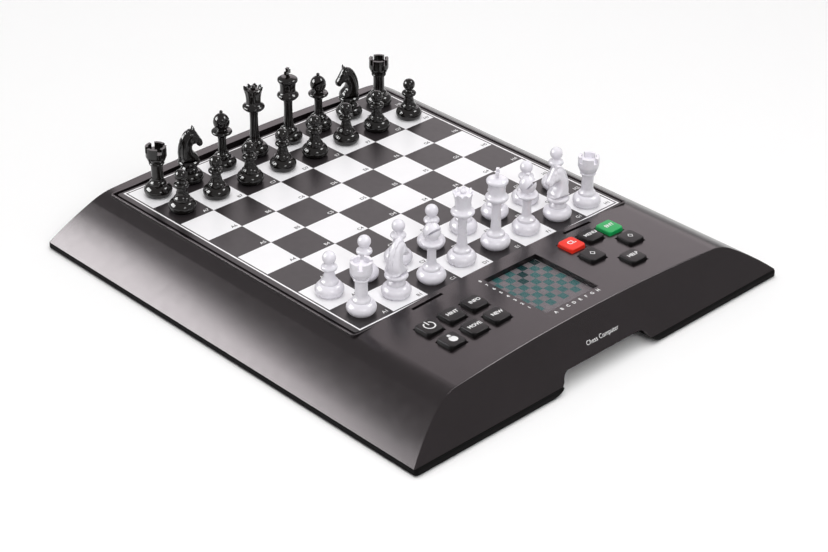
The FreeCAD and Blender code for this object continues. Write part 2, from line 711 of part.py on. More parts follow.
keep(box("DisplayWindow", "Dimensions.display_width - 0.2", "Dimensions.display_depth - 0.2",
         "Dimensions.window_thickness", "0", DISPLAY_Y, WINDOW_UNDER), "display_window")
MODULE_Z = WINDOW_UNDER + " - Dimensions.module_thickness - 0.1"
keep(box("DisplayModule", "Dimensions.display_width + 3.4", "Dimensions.display_depth + 3.0",
         "Dimensions.module_thickness", "0", DISPLAY_Y, MODULE_Z), "display_module")

# ------------------------------------------------------------------ circuit board, mat, sounder
circuit = box("CircuitPlate", "Dimensions.circuit_width", "Dimensions.circuit_depth",
              "Dimensions.circuit_thickness", "0", DISPLAY_Y, "Dimensions.circuit_height")
chip = box("Processor", "14", "14", "1.8", "-20", DISPLAY_Y, "Dimensions.circuit_height - 1.8")
socket = box("TailSocket", "34", "3.0", "4.0", "0", DISPLAY_Y + " + 22", "Dimensions.circuit_height - 4.0")
circuit_holes = []
for number, (x, y) in enumerate(CIRCUIT_SCREWS, start=1):
    circuit_holes.append(cylinder("CircuitHole%d" % number, "Dimensions.screw_shank + 0.2", "6",
                                  str(x), str(y), "Dimensions.circuit_height - 2"))
circuit_full = fuse("CircuitFull", [circuit, chip, socket])
keep(cut("Circuit", circuit_full, fuse("CircuitHoles", circuit_holes)), "main_circuit_board")

mat_sheet = box("MatSheet", "156", "44", "Dimensions.mat_thickness", "0", DISPLAY_Y, CIRCUIT_TOP)
mat_items = [mat_sheet]
below_deck = size("wall") + size("flange_gap") + size("flange_height") + size("key_travel") + 0.3
for name, (x, y) in KEYS.items():
    dome = doc.addObject("Part::Cone", "Dome_" + name)
    dome_foot = size("circuit_height") + size("circuit_thickness") + size("mat_thickness")
    dome.Radius1 = 4.2
    dome.Radius2 = 3.0
    dome.Height = deck_at(x) - below_deck - dome_foot
    place_bound(dome, str(x), str(y), CIRCUIT_TOP + " + Dimensions.mat_thickness")
    mat_items.append(dome)
keep(fuse("KeyMat", mat_items), "key_mat")

keep(cylinder("Sounder", "Dimensions.speaker_radius", "Dimensions.speaker_height",
              "Dimensions.speaker_place_x", "Dimensions.speaker_place_y", PLATE_TOP), "speaker")

# ------------------------------------------------------------------ batteries and door
half_bay = size("bay_length") / 2
cells = []
springs = []
for number in range(3):
    facing = 1 if number % 2 == 0 else -1
    y = size("bay_centre") + (number - 1) * size("cell_pitch")
    z = size("foot_gap") + 2.4 + size("cell_radius")
    tip = facing * (half_bay - 0.5)
    turn = Rotation(Vector(0, 1, 0), -90 * facing)
    can = doc.addObject("Part::Cylinder", "CellCan%d" % (number + 1))
    bind(can, Radius="Dimensions.cell_radius", Height="Dimensions.cell_length - 1.2")
    can.Placement = Placement(Vector(tip - facing * 1.2, y, z), turn)
    button = doc.addObject("Part::Cylinder", "CellButton%d" % (number + 1))
    button.Radius = 2.7
    button.Height = 1.4
    button.Placement = Placement(Vector(tip, y, z), turn)
    cells.append(fuse("Cell%d" % (number + 1), [can, button]))
    for side, name in ((facing, "Plus"), (-facing, "Minus")):
        plate = doc.addObject("Part::Box", "Contact%s%d" % (name, number + 1))
        plate.Length = 0.4
        plate.Width = 9
        plate.Height = 9
        at = side * (half_bay - 0.3) - 0.2
        plate.Placement = Placement(Vector(at, y - 4.5, z - 4.5), Rotation())
        springs.append(plate)
    spring = doc.addObject("Part::Cone", "ContactSpring%d" % (number + 1))
    spring.Radius1 = 4.0
    spring.Radius2 = 2.4
    spring.Height = size("bay_length") - 1.0 - size("cell_length")
    spring_turn = Rotation(Vector(0, 1, 0), 90 * facing)
    spring.Placement = Placement(Vector(-facing * (half_bay - 0.5), y, z), spring_turn)
    springs.append(spring)
batteries = doc.addObject("Part::Compound", "Batteries")
batteries.Links = cells
keep(batteries, "batteries")
contacts = []
for number in range(3):
    plus, minus, spring = springs[3 * number:3 * number + 3]
    contacts.append(plus)
    contacts.append(fuse("SpringContact%d" % (number + 1), [minus, spring]))
contact_set = doc.addObject("Part::Compound", "Contacts")
contact_set.Links = contacts
keep(contact_set, "battery_contacts")

door_plate = box("DoorPlate", "Dimensions.door_width", "Dimensions.door_depth", "Dimensions.door_thickness",
                 "0", BAY_Y, "Dimensions.foot_gap")
door_grip = box("DoorGrip", "16", "3", "0.8", "0", BAY_Y + " + 16", "Dimensions.foot_gap")
keep(cut("Door", door_plate, door_grip), "battery_door")

# ------------------------------------------------------------------ screws and feet
screws = []
places = [(x, y, size("foot_gap") + 3.0) for x, y in CASE_SCREWS]
places += [(x, y, size("circuit_height")) for x, y in CIRCUIT_SCREWS]
for number, (x, y, z) in enumerate(places, start=1):
    shank = cylinder("ScrewShank%d" % number, "Dimensions.screw_shank", "Dimensions.screw_length",
                     str(x), str(y), str(z))
    head = cylinder("ScrewHead%d" % number, "Dimensions.screw_head", "Dimensions.head_height",
                    str(x), str(y), str(z) + " - Dimensions.head_height")
    slot = box("ScrewSlot%d" % number, "3.6", "0.8", "0.8", str(x), str(y),
               str(z) + " - Dimensions.head_height")
    screws.append(cut("Screw%d" % number, fuse("ScrewBlank%d" % number, [shank, head]), slot))
screw_set = doc.addObject("Part::Compound", "Screws")
screw_set.Links = screws
keep(screw_set, "screws")

feet = []
for number, (x, y) in enumerate(FEET, start=1):
    feet.append(cylinder("Foot%d" % number, "Dimensions.pad_radius", "Dimensions.pad_height", str(x), str(y)))
foot_set = doc.addObject("Part::Compound", "Feet")
foot_set.Links = feet
keep(foot_set, "rubber_feet")

# ------------------------------------------------------------------ chessmen
# Turned profiles: radius as a fraction of the base radius, height as a fraction of the
# whole height. A third and fourth number make the side that ends there an arc through them.
BALL = "ball"


def ball_middle(foot, crest):
    """Mid-point of the arc of a ball centred on the axis, from its neck to its crest."""
    rise = crest[1] - foot[1]
    radius = (foot[0] ** 2 + rise ** 2) / (2 * rise)
    centre = crest[1] - radius
    angle = (math.atan2(foot[1] - centre, foot[0]) + math.pi / 2) / 2
    return (radius * math.cos(angle), centre + radius * math.sin(angle))


def turned(name, base, height, profile, top=None):
    """A turned body: a foot with a thick bead and a step, then the profile up to the axis."""
    wide = size(base)
    tall = size(height) if top is None else size(top)
    bead = (0.997, size("bead_middle") / tall)
    rows = [(0.76, 0.0, None), (0.86, size("bead_top") / tall, bead)]
    rows += [(0.66, size("step_foot") / tall, None), (0.64, size("step_top") / tall, None)]
    rows += [(step[0], step[1], step[2:] if len(step) > 2 else None) for step in profile]
    points = [(0.0, 0.0)] + [(wide * radius, tall * level) for radius, level, _ in rows]
    bulges = {}
    for index, (_, _, through) in enumerate(rows):
        if through == (BALL,):
            bulges[index] = ball_middle(points[index], points[index + 1])
        elif through:
            bulges[index] = (wide * through[0], tall * through[1])
    body = new_body(name)
    sketch = new_sketch(body, name + "Profile", "XZ")
    draw_loop(sketch, points, bulges)
    pin_vertex(sketch, 1, points[1], "foot", "Dimensions.%s * 0.76" % base, None)
    if profile[-1][-1] == BALL:
        sketch.addConstraint(Sketcher.Constraint("PointOnObject", len(rows) - 1, 3, -2))
    alias = height if top is None else top
    pin_vertex(sketch, len(points) - 1, points[-1], "top", None, "Dimensions." + alias)
    revolve(body, name + "Turning", sketch)
    return body


PAWN = [
    (0.415, 0.467, 0.475, 0.400), (0.31, 0.565), (0.45, 0.58), (0.44, 0.68, 0.556, 0.63), (0.33, 0.70),
    (0.264, 0.7385), (0.0, 1.0, BALL),
]
ROOK_FLOOR = 0.90
ROOK = [
    (0.44, 0.393, 0.49, 0.334), (0.415, 0.50), (0.42, 0.625), (0.465, 0.632), (0.465, 0.662),
    (0.41, 0.675), (0.55, 0.692), (0.745, 0.812), (0.745, 1.0), (0.55, 1.0), (0.55, ROOK_FLOOR),
    (0.0, ROOK_FLOOR),
]
BISHOP = [
    (0.40, 0.33, 0.47, 0.28), (0.315, 0.46), (0.32, 0.54), (0.62, 0.592), (0.62, 0.658, 0.755, 0.627),
    (0.40, 0.672), (0.38, 0.685), (0.12, 0.948, 0.60, 0.785), (0.09, 0.95), (0.0, 1.0, BALL),
]
QUEEN = [
    (0.42, 0.27, 0.48, 0.232), (0.345, 0.36), (0.31, 0.50), (0.37, 0.62),
    (0.66, 0.655, 0.50, 0.635), (0.66, 0.735, 0.86, 0.70), (0.52, 0.75), (0.49, 0.785),
    (0.715, 0.975, 0.555, 0.885), (0.60, 0.975), (0.52, 0.925), (0.15, 0.955, 0.40, 0.952), (0.0, 1.0, BALL),
]
KING = [
    (0.42, 0.285, 0.48, 0.243), (0.33, 0.37), (0.305, 0.48), (0.39, 0.63),
    (0.66, 0.675, 0.50, 0.65), (0.66, 0.765, 0.85, 0.72), (0.54, 0.78), (0.53, 0.815), (0.62, 0.925),
    (0.70, 0.935), (0.70, 0.968, 0.725, 0.952), (0.20, 1.0, 0.49, 0.992), (0.0, 1.0),
]


def make_pawn(name):
    return turned(name, "pawn_base", "pawn_height", PAWN)


def make_rook(name):
    """A rook: four notches through the parapet."""
    tower = turned(name + "Tower", "rook_base", "rook_height", ROOK)
    notches = []
    for number, angle in enumerate((45, 135)):
        notch = doc.addObject("Part::Box", "%sNotch%d" % (name, number))
        notch.Length = 20
        notch.Width = size("rook_notch")
        notch.Height = 5
        foot = Vector(0, 0, size("rook_height") * ROOK_FLOOR)
        turn = Rotation(Vector(0, 0, 1), angle)
        corner = turn.multVec(Vector(-10, -size("rook_notch") / 2, 0))
        notch.Placement = Placement(corner + foot, turn)
        notches.append(notch)
    return cut(name, tower, fuse(name + "Notches", notches))


def make_bishop(name):
    """A bishop: a sloping slit in one side of the mitre."""
    mitre = turned(name + "Mitre", "bishop_base", "bishop_height", BISHOP)
    slit = doc.addObject("Part::Box", name + "Slit")
    slit.Length = 8
    slit.Width = 14
    slit.Height = size("bishop_slit")
    turn = Rotation(Vector(0, 1, 0), -52)
    slit.Placement = Placement(Vector(1.6, -7, 0.80 * size("bishop_height")), turn)
    return cut(name, mitre, slit)


def make_queen(name):
    """A queen: eight hollows make the points of the coronet."""
    stem = turned(name + "Stem", "queen_base", "queen_height", QUEEN)
    hollows = []
    for number in range(8):
        angle = 45.0 * number
        hollow = doc.addObject("Part::Cylinder", "%sHollow%d" % (name, number))
        hollow.Radius = size("queen_hollow")
        hollow.Height = 9
        turn = Rotation(Vector(0, 0, 1), angle) * Rotation(Vector(0, 1, 0), 90)
        out = Rotation(Vector(0, 0, 1), angle).multVec(Vector(size("queen_reach"), 0, 0))
        hollow.Placement = Placement(out + Vector(0, 0, 0.99 * size("queen_height")), turn)
        hollows.append(hollow)
    return cut(name, stem, fuse(name + "Hollows", hollows))


def make_king(name):
    """A king: a flared cross on the dome."""
    stem = turned(name + "Stem", "king_base", "king_height", KING, top="king_dome")
    rise = "Dimensions.king_height - Dimensions.king_dome"
    post = box(name + "Post", "2.4", "2.0", rise + " + 0.4", "0", "0", "Dimensions.king_dome - 0.4")
    arms = box(name + "Arms", "5.8", "2.0", "1.9", "0", "0", "Dimensions.king_dome + 2.0")
    return fuse(name, [stem, post, arms])


HORSE = [
    (-5.9, 13.0), (-6.3, 19.6), (-5.4, 25.4), (-3.6, 29.8), (-1.2, 32.2), (1.4, 33.1), (3.0, 32.9),
    (3.9, 34.0), (4.9, 31.6), (6.2, 29.4), (7.6, 26.6), (8.8, 24.2), (8.6, 22.2), (7.0, 20.9),
    (5.6, 21.4), (4.0, 23.2), (2.4, 23.2), (2.0, 20.6), (3.8, 18.0), (5.8, 15.6), (6.0, 13.0),
]
HORSE_FRONT = [
    (-5.9, 12.0), (5.9, 12.0), (5.6, 16.0), (4.3, 20.5), (3.4, 26.0), (2.6, 30.0), (2.3, 34.5),
    (-2.3, 34.5), (-2.6, 30.0), (-3.4, 26.0), (-4.3, 20.5), (-5.6, 16.0),
]
KNIGHT = [
    (0.43, 0.72, 0.50, 0.65), (0.70, 0.80), (0.70, 0.97, 0.78, 0.885), (0.66, 1.0), (0.0, 1.0),
]


def make_knight(name):
    """A knight: a horse's head, shaped from the side and the front, on a turned foot."""
    foot = turned(name + "Foot", "knight_base", "knight_collar", KNIGHT)
    side = new_body(name + "Side")
    outline = new_sketch(side, name + "SideSketch", "XZ")
    draw_loop(outline, HORSE)
    pin_vertex(outline, 7, HORSE[7], "ears", None, "Dimensions.knight_height")
    pad(side, name + "SidePad", outline, "14", symmetric=True)
    front = new_body(name + "Front")
    shape = new_sketch(front, name + "FrontSketch", "YZ")
    draw_loop(shape, HORSE_FRONT)
    pad(front, name + "FrontPad", shape, "30", symmetric=True)
    head = common(name + "Head", [side, front])
    return fuse(name, [foot, head])


MAKERS = {
    "pawn": make_pawn, "rook": make_rook, "knight": make_knight,
    "bishop": make_bishop, "queen": make_queen, "king": make_king,
}
BACK_RANK = ["rook", "knight", "bishop", "queen", "king", "bishop", "knight", "rook"]
# Which way a knight faces, and how far a man stands off the middle of its square.
TURNED = {
    "white_knight_b1": 12.0, "white_knight_g1": 171.0,
    "black_knight_b8": -19.0, "black_knight_g8": 161.0,
}
STANDS = {
    "white_bishop_c1": (-0.4, -1.3), "white_queen_d1": (-0.1, 1.1), "white_king_e1": (1.0, 1.0),
    "white_bishop_f1": (0.1, 0.6), "white_rook_h1": (-1.8, -1.2), "black_rook_a8": (1.5, -0.8),
    "black_queen_d8": (-0.3, 0.3), "black_king_e8": (0.6, -0.5), "black_pawn_h7": (0.8, -1.3),
}


def place_piece(colour, kind, file, rank):
    """Stand one chessman on its square."""
    square = "abcdefgh"[file] + str(rank)
    label = "%s_%s_%s" % (colour, kind, square)
    piece = MAKERS[kind](label.title().replace("_", ""))
    pitch = size("square_pitch")
    off_x, off_y = STANDS.get(label, (0.0, 0.0))
    x = (file - 3.5) * pitch + off_x
    y = size("board_offset") + (rank - 4.5) * pitch + off_y
    turn = Rotation(Vector(0, 0, 1), TURNED.get(label, 0.0))
    keep(piece, label, Placement(Vector(x, y, size("board_top")), turn))


for file, kind in enumerate(BACK_RANK):
    place_piece("white", kind, file, 1)
    place_piece("white", "pawn", file, 2)
    place_piece("black", "pawn", file, 7)
    place_piece("black", kind, file, 8)

# ------------------------------------------------------------------ check and write
doc.recompute()
for obj in doc.Objects:
    state = [flag for flag in obj.State if flag in ("Invalid", "Error")]
    if state:
        raise RuntimeError("%s failed: %s" % (obj.Label, state))

os.makedirs("parts", exist_ok=True)
for obj in PARTS:
    shape = obj.Shape
    if shape.isNull() or not shape.isValid():
        raise RuntimeError("%s has no valid shape" % obj.Label)
    shape.exportStep("parts/%s.step" % obj.Label)
    print("%-24s solids %d volume %.1f" % (obj.Label, len(shape.Solids), shape.Volume))
print("%d parts" % len(PARTS))
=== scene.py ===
import json
import math

import bmesh
import bpy
from mathutils import Euler, Matrix, Vector
from mathutils.geometry import delaunay_2d_cdt

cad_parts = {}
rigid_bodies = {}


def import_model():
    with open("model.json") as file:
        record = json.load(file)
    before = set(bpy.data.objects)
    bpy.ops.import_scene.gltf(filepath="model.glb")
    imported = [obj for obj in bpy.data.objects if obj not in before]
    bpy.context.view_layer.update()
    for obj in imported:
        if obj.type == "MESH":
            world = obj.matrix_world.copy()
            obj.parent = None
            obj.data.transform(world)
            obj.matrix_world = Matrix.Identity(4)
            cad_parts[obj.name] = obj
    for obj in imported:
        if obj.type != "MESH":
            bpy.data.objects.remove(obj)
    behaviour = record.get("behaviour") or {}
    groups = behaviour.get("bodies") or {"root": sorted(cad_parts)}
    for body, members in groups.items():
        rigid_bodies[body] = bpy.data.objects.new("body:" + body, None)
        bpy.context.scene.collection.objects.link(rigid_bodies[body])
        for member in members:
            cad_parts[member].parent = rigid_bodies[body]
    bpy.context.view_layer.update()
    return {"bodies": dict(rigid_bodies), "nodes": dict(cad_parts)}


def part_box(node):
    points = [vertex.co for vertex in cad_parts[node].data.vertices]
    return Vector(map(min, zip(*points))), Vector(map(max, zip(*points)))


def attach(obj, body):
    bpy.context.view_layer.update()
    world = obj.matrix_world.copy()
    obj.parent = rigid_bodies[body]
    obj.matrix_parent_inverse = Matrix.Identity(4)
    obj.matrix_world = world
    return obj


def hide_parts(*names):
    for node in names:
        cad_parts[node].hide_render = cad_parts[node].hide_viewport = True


# Looks for the electronic chess computer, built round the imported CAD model.
# Metres, in the CAD frame. Profiles and outlines of small pieces are given in millimetres.

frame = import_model()

MM = 0.001
SQUARE = 0.025
# Middle of the printed squares: half the panel's depth in front of its back edge.
BOARD_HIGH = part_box("board_panel")[1]
BOARD_HALF = 0.102
BOARD_Y = BOARD_HIGH.y - BOARD_HALF
BOARD_TOP = BOARD_HIGH.z
BASE_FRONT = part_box("lower_case")[0].y
# The deck is a shallow arc across the case.
DECK_RADIUS = 1.586
DECK_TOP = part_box("upper_case")[1].z
FILES = "ABCDEFGH"
# Added before a modulo by two, so that it never sees a negative number.
EVEN_SHIFT = 64.0


def deck_at(x):
    """Height of the crowned deck at a distance from the centre line."""
    return DECK_TOP - DECK_RADIUS + math.sqrt(DECK_RADIUS**2 - x * x)


# ------------------------------------------------------------------ materials
class Graph:
    """Short way to write a material's nodes."""

    # Sockets of the Mix node when it mixes colours.
    MIX_FACTOR, MIX_A, MIX_B, MIX_RESULT = 0, 6, 7, 2
    # Noise stays near its middle: this is the part of its range that is used.
    NOISE_LOW, NOISE_HIGH = 0.3, 0.7

    def __init__(self, name):
        self.material = bpy.data.materials.new(name)
        self.material.use_nodes = True
        self.tree = self.material.node_tree
        self.shader = self.tree.nodes["Principled BSDF"]
        self.place = None

    def node(self, kind, **settings):
        """New node with its settings."""
        made = self.tree.nodes.new(kind)
        for name, value in settings.items():
            setattr(made, name, value)
        return made

    def link(self, source, target):
        """Links an output to an input."""
        self.tree.links.new(source, target)

    def feed(self, socket, value):
        """Links a socket, or sets its value."""
        if isinstance(value, bpy.types.NodeSocket):
            self.link(value, socket)
        elif value is not None:
            socket.default_value = value

    def coords(self):
        """Object coordinates, made once."""
        if self.place is None:
            self.place = self.node("ShaderNodeTexCoord").outputs["Object"]
        return self.place

    def math(self, operation, a, b=None, c=None):
        """Result of a Math node."""
        made = self.node("ShaderNodeMath", operation=operation)
        for socket, value in zip(made.inputs, (a, b, c)):
            self.feed(socket, value)
        return made.outputs[0]

    def mix(self, factor, a, b):
        """Colour between two."""
        made = self.node("ShaderNodeMix", data_type="RGBA")
        self.feed(made.inputs[self.MIX_FACTOR], factor)
        self.feed(made.inputs[self.MIX_A], a)
        self.feed(made.inputs[self.MIX_B], b)
        return made.outputs[self.MIX_RESULT]

    def noise(self, scale, detail=3.0, stretch=None):
        """Noise in object space."""
        vector = self.coords()
        if stretch:
            mapping = self.node("ShaderNodeMapping")
            mapping.inputs["Scale"].default_value = stretch
            self.link(vector, mapping.inputs["Vector"])
            vector = mapping.outputs["Vector"]
        made = self.node("ShaderNodeTexNoise")
        self.link(vector, made.inputs["Vector"])
        made.inputs["Scale"].default_value = scale
        made.inputs["Detail"].default_value = detail
        made.inputs["Roughness"].default_value = 0.55
        return made.outputs["Fac"]

    def spread(self, value, low, high):
        """Maps a noise value to a range."""
        made = self.node("ShaderNodeMapRange", clamp=True)
        self.feed(made.inputs["Value"], value)
        made.inputs["From Min"].default_value = self.NOISE_LOW
        made.inputs["From Max"].default_value = self.NOISE_HIGH
        made.inputs["To Min"].default_value = low
        made.inputs["To Max"].default_value = high
        return made.outputs["Result"]

    def bump(self, height, strength, distance):
        """Gives the shader a relief."""
        made = self.node("ShaderNodeBump")
        made.inputs["Strength"].default_value = strength
        made.inputs["Distance"].default_value = distance
        self.link(height, made.inputs["Height"])
        self.link(made.outputs["Normal"], self.shader.inputs["Normal"])


def rgba(colour):
    """Colour with its alpha."""
    return (*colour, 1.0)


# Moulded plastic: how fine its drift of tone and of gloss are, how much the gloss varies, and how
# deep its grain is, in metres.
DRIFT_SCALE = 28.0
GLOSS_SCALE = 160.0
GLOSS_VARY = 0.07
GRAIN_DEPTH = 0.00004
COAT_ROUGH = 0.06


def moulded(name, colour, rough, grain=0.12, grain_scale=4200.0, vary=0.12, coat=0.0, specular=0.5,
            sheen=(1.0, 1.0, 1.0)):
    """Moulded plastic: fine grain, a faint drift of tone and of gloss."""
    g = Graph(name)
    darker = tuple(max(0.0, c * (1 - vary)) for c in colour)
    lighter = tuple(min(1.0, c * (1 + vary)) for c in colour)
    drift = g.spread(g.noise(DRIFT_SCALE, 4.0), 0.0, 1.0)
    g.feed(g.shader.inputs["Base Color"], g.mix(drift, rgba(darker), rgba(lighter)))
    gloss = g.spread(g.noise(GLOSS_SCALE), rough * (1 - GLOSS_VARY), rough * (1 + GLOSS_VARY))
    g.feed(g.shader.inputs["Roughness"], gloss)
    g.shader.inputs["Specular IOR Level"].default_value = specular
    g.shader.inputs["Specular Tint"].default_value = rgba(sheen)
    if coat:
        g.shader.inputs["Coat Weight"].default_value = coat
        g.shader.inputs["Coat Roughness"].default_value = COAT_ROUGH
    g.bump(g.noise(grain_scale, 2.0), grain, GRAIN_DEPTH)
    return g.material


SHELL = moulded("anthracite_shell", (0.0120, 0.0094, 0.0102), 0.24, grain=0.04, grain_scale=3000.0,
                sheen=(1.0, 0.92, 0.95))
BASE = moulded("black_base", (0.003, 0.0027, 0.0027), 0.5, grain=0.2, grain_scale=2500.0,
               specular=0.05)
WHITE = moulded("white_men", (0.83, 0.81, 0.865), 0.27, grain=0.03, vary=0.02, coat=0.25)
BLACK = moulded("black_men", (0.006, 0.005, 0.0045), 0.10, grain=0.03, grain_scale=700.0, vary=0.3,
                coat=0.1)
DARK_KEY = moulded("dark_key", (0.0060, 0.0050, 0.0054), 0.32, grain=0.10, grain_scale=5000.0,
                   specular=0.22)
RED_KEY = moulded("red_key", (0.85, 0.030, 0.014), 0.35, vary=0.05, specular=0.25)
GREEN_KEY = moulded("green_key", (0.008, 0.36, 0.090), 0.35, vary=0.06, specular=0.25)
RUBBER = moulded("rubber", (0.02, 0.02, 0.02), 0.8, grain=0.4)
CIRCUIT = moulded("circuit", (0.02, 0.14, 0.05), 0.35)
SILICONE = moulded("silicone", (0.25, 0.25, 0.27), 0.6)
CELL = moulded("cell", (0.03, 0.10, 0.16), 0.3)
FILM = moulded("film", (0.45, 0.30, 0.10), 0.3)
PRINT_WHITE = moulded("print_white", (0.80, 0.80, 0.80), 0.5, grain=0.1, vary=0.04)
PRINT_DARK = moulded("print_dark", (0.045, 0.040, 0.042), 0.5, grain=0.1)


def metal(name, colour, rough):
    """Bare metal with a drawn finish."""
    g = Graph(name)
    g.shader.inputs["Metallic"].default_value = 1.0
    tone = g.spread(g.noise(900.0, stretch=(1.0, 12.0, 1.0)), 0.0, 1.0)
    darker = tuple(c * 0.8 for c in colour)
    g.feed(g.shader.inputs["Base Color"], g.mix(tone, rgba(darker), rgba(colour)))
    g.feed(g.shader.inputs["Roughness"], g.spread(tone, rough * 0.8, rough * 1.2))
    return g.material


STEEL = metal("steel", (0.6, 0.6, 0.6), 0.35)


# Reach of the printed squares, and of the line round them, in squares from the middle.
SQUARES_REACH = 3.95
LINE_REACH = 4.004
LINE_HALF = 0.020


def board_material():
    """Printed squares with an outline, under a satin film."""
    g = Graph("printed_board")
    split = g.node("ShaderNodeSeparateXYZ")
    g.link(g.coords(), split.inputs[0])
    x = g.math("DIVIDE", split.outputs[0], SQUARE)
    y = g.math("DIVIDE", g.math("SUBTRACT", split.outputs[1], BOARD_Y), SQUARE)
    parity = g.math("ADD", g.math("FLOOR", x), g.math("FLOOR", y))
    odd = g.math("MODULO", g.math("ADD", parity, EVEN_SHIFT), 2.0)
    reach = g.math("MAXIMUM", g.math("ABSOLUTE", x), g.math("ABSOLUTE", y))
    inside = g.math("LESS_THAN", reach, SQUARES_REACH)
    line = g.math("COMPARE", reach, LINE_REACH, LINE_HALF)
    pale = g.math("MAXIMUM", g.math("MULTIPLY", odd, inside), line)
    drift = g.spread(g.noise(22.0, 4.0), 0.0, 1.0)
    dark = g.mix(drift, rgba((0.020, 0.017, 0.018)), rgba((0.026, 0.022, 0.024)))
    light = g.mix(drift, rgba((0.85, 0.845, 0.86)), rgba((0.89, 0.885, 0.90)))
    g.feed(g.shader.inputs["Base Color"], g.mix(pale, dark, light))
    g.feed(g.shader.inputs["Roughness"], g.spread(g.noise(300.0, 2.0), 0.30, 0.36))
    g.shader.inputs["Specular IOR Level"].default_value = 0.42
    g.bump(g.noise(2600.0, 2.0), 0.12, 0.00003)
    return g.material


# Lower left corner of the display's field, and the size of its cells.
FIELD_LEFT = -0.01836
FIELD_NEAR = -0.1177
CELL_WIDTH = 0.004764
CELL_DEPTH = 0.00496
# Files and ranks of the cells darkened by a painted reflection of the dark standing men in the
# window, each with its tone.
MEN_REFLECTION_CELLS = [
    (3, 5, (0.010, 0.062, 0.062)), (4, 6, (0.002, 0.040, 0.044)),
    (5, 7, (0.002, 0.040, 0.044)), (7, 7, (0.004, 0.022, 0.024)),
]


def display_material():
    """Liquid crystal field of eight by eight cells, some of them darkened by a painted reflection
    of the men.
    """
    g = Graph("display_field")
    split = g.node("ShaderNodeSeparateXYZ")
    g.link(g.coords(), split.inputs[0])
    x = g.math("DIVIDE", g.math("SUBTRACT", split.outputs[0], FIELD_LEFT), CELL_WIDTH)
    y = g.math("DIVIDE", g.math("SUBTRACT", split.outputs[1], FIELD_NEAR), CELL_DEPTH)
    parity = g.math("ADD", g.math("FLOOR", x), g.math("FLOOR", y))
    even = g.math("SUBTRACT", 1.0, g.math("MODULO", g.math("ADD", parity, EVEN_SHIFT), 2.0))
    inside_x = g.math("COMPARE", x, 4.0, 4.0)
    inside_y = g.math("COMPARE", y, 4.0, 4.0)
    inside = g.math("MULTIPLY", inside_x, inside_y)
    cells = g.math("MULTIPLY", even, inside)
    drift = g.spread(g.noise(240.0, 3.0), 0.0, 1.0)
    ground = g.mix(drift, rgba((0.215, 0.188, 0.202)), rgba((0.260, 0.228, 0.245)))
    teal = g.mix(drift, rgba((0.035, 0.150, 0.150)), rgba((0.048, 0.180, 0.180)))
    field = g.mix(cells, ground, teal)
    # Painted reflection: the cells where the window mirrors the dark men are darkened in the base
    # colour.
    for file, rank, tone in MEN_REFLECTION_CELLS:
        across = g.math("COMPARE", x, file + 0.5, 0.5)
        along = g.math("COMPARE", y, rank + 0.5, 0.5)
        field = g.mix(g.math("MULTIPLY", across, along), field, rgba(tone))
    g.feed(g.shader.inputs["Base Color"], field)
    g.shader.inputs["Roughness"].default_value = 0.35
    g.shader.inputs["Specular IOR Level"].default_value = 0.1
    return g.material


def clear_material():
    """Clear window that lets the display show and keeps a sharp shine."""
    g = Graph("clear_window")
    tint = g.mix(g.noise(60.0), rgba((0.015, 0.022, 0.022)), rgba((0.025, 0.034, 0.034)))
    g.feed(g.shader.inputs["Base Color"], tint)
    g.shader.inputs["Roughness"].default_value = 0.08
    g.shader.inputs["Alpha"].default_value = 0.12
    return g.material


def floor_material():
    """Matt white studio floor."""
    g = Graph("studio_floor")
    tone = g.mix(g.noise(3.0), rgba((0.93, 0.93, 0.93)), rgba((0.95, 0.95, 0.95)))
    g.feed(g.shader.inputs["Base Color"], tone)
    g.shader.inputs["Roughness"].default_value = 0.9
    return g.material


def dress(node, material):
    """Gives a CAD node its material."""
    slots = frame["nodes"][node].data.materials
    slots.clear()
    slots.append(material)


for node, material in {
    "upper_case": SHELL, "lower_case": BASE, "board_panel": board_material(),
    "sensor_membrane": FILM, "display_window": clear_material(),
    "display_module": display_material(), "main_circuit_board": CIRCUIT, "key_mat": SILICONE,
    "speaker": BASE, "batteries": CELL, "battery_contacts": STEEL, "battery_door": BASE,
    "screws": STEEL, "rubber_feet": RUBBER,
}.items():
    dress(node, material)


# ------------------------------------------------------------------ mesh helpers
def piece(name, verts, faces, material, body, stands_for=None, angle=38.0):
    """A mesh piece that rides on a body; sharp only where faces meet above an angle."""
    mesh = bpy.data.meshes.new(name)
    mesh.from_pydata([Vector(v) for v in verts], [], faces)
    mesh.validate()
    shape = bmesh.new()
    shape.from_mesh(mesh)
    bmesh.ops.recalc_face_normals(shape, faces=shape.faces)
    for face in shape.faces:
        face.smooth = True
    for edge in shape.edges:
        if len(edge.link_faces) == 2:
            edge.smooth = edge.calc_face_angle(0.0) < math.radians(angle)
    shape.to_mesh(mesh)
    shape.free()
    mesh.materials.append(material)
    made = bpy.data.objects.new(name, mesh)
    bpy.context.scene.collection.objects.link(made)
    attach(made, body)
    if stands_for:
        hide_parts(stands_for)
    return made


# Three points whose bend is below this lie on one line.
STRAIGHT = 1e-9
# A radius below this is on the axis.
ON_AXIS = 1e-6


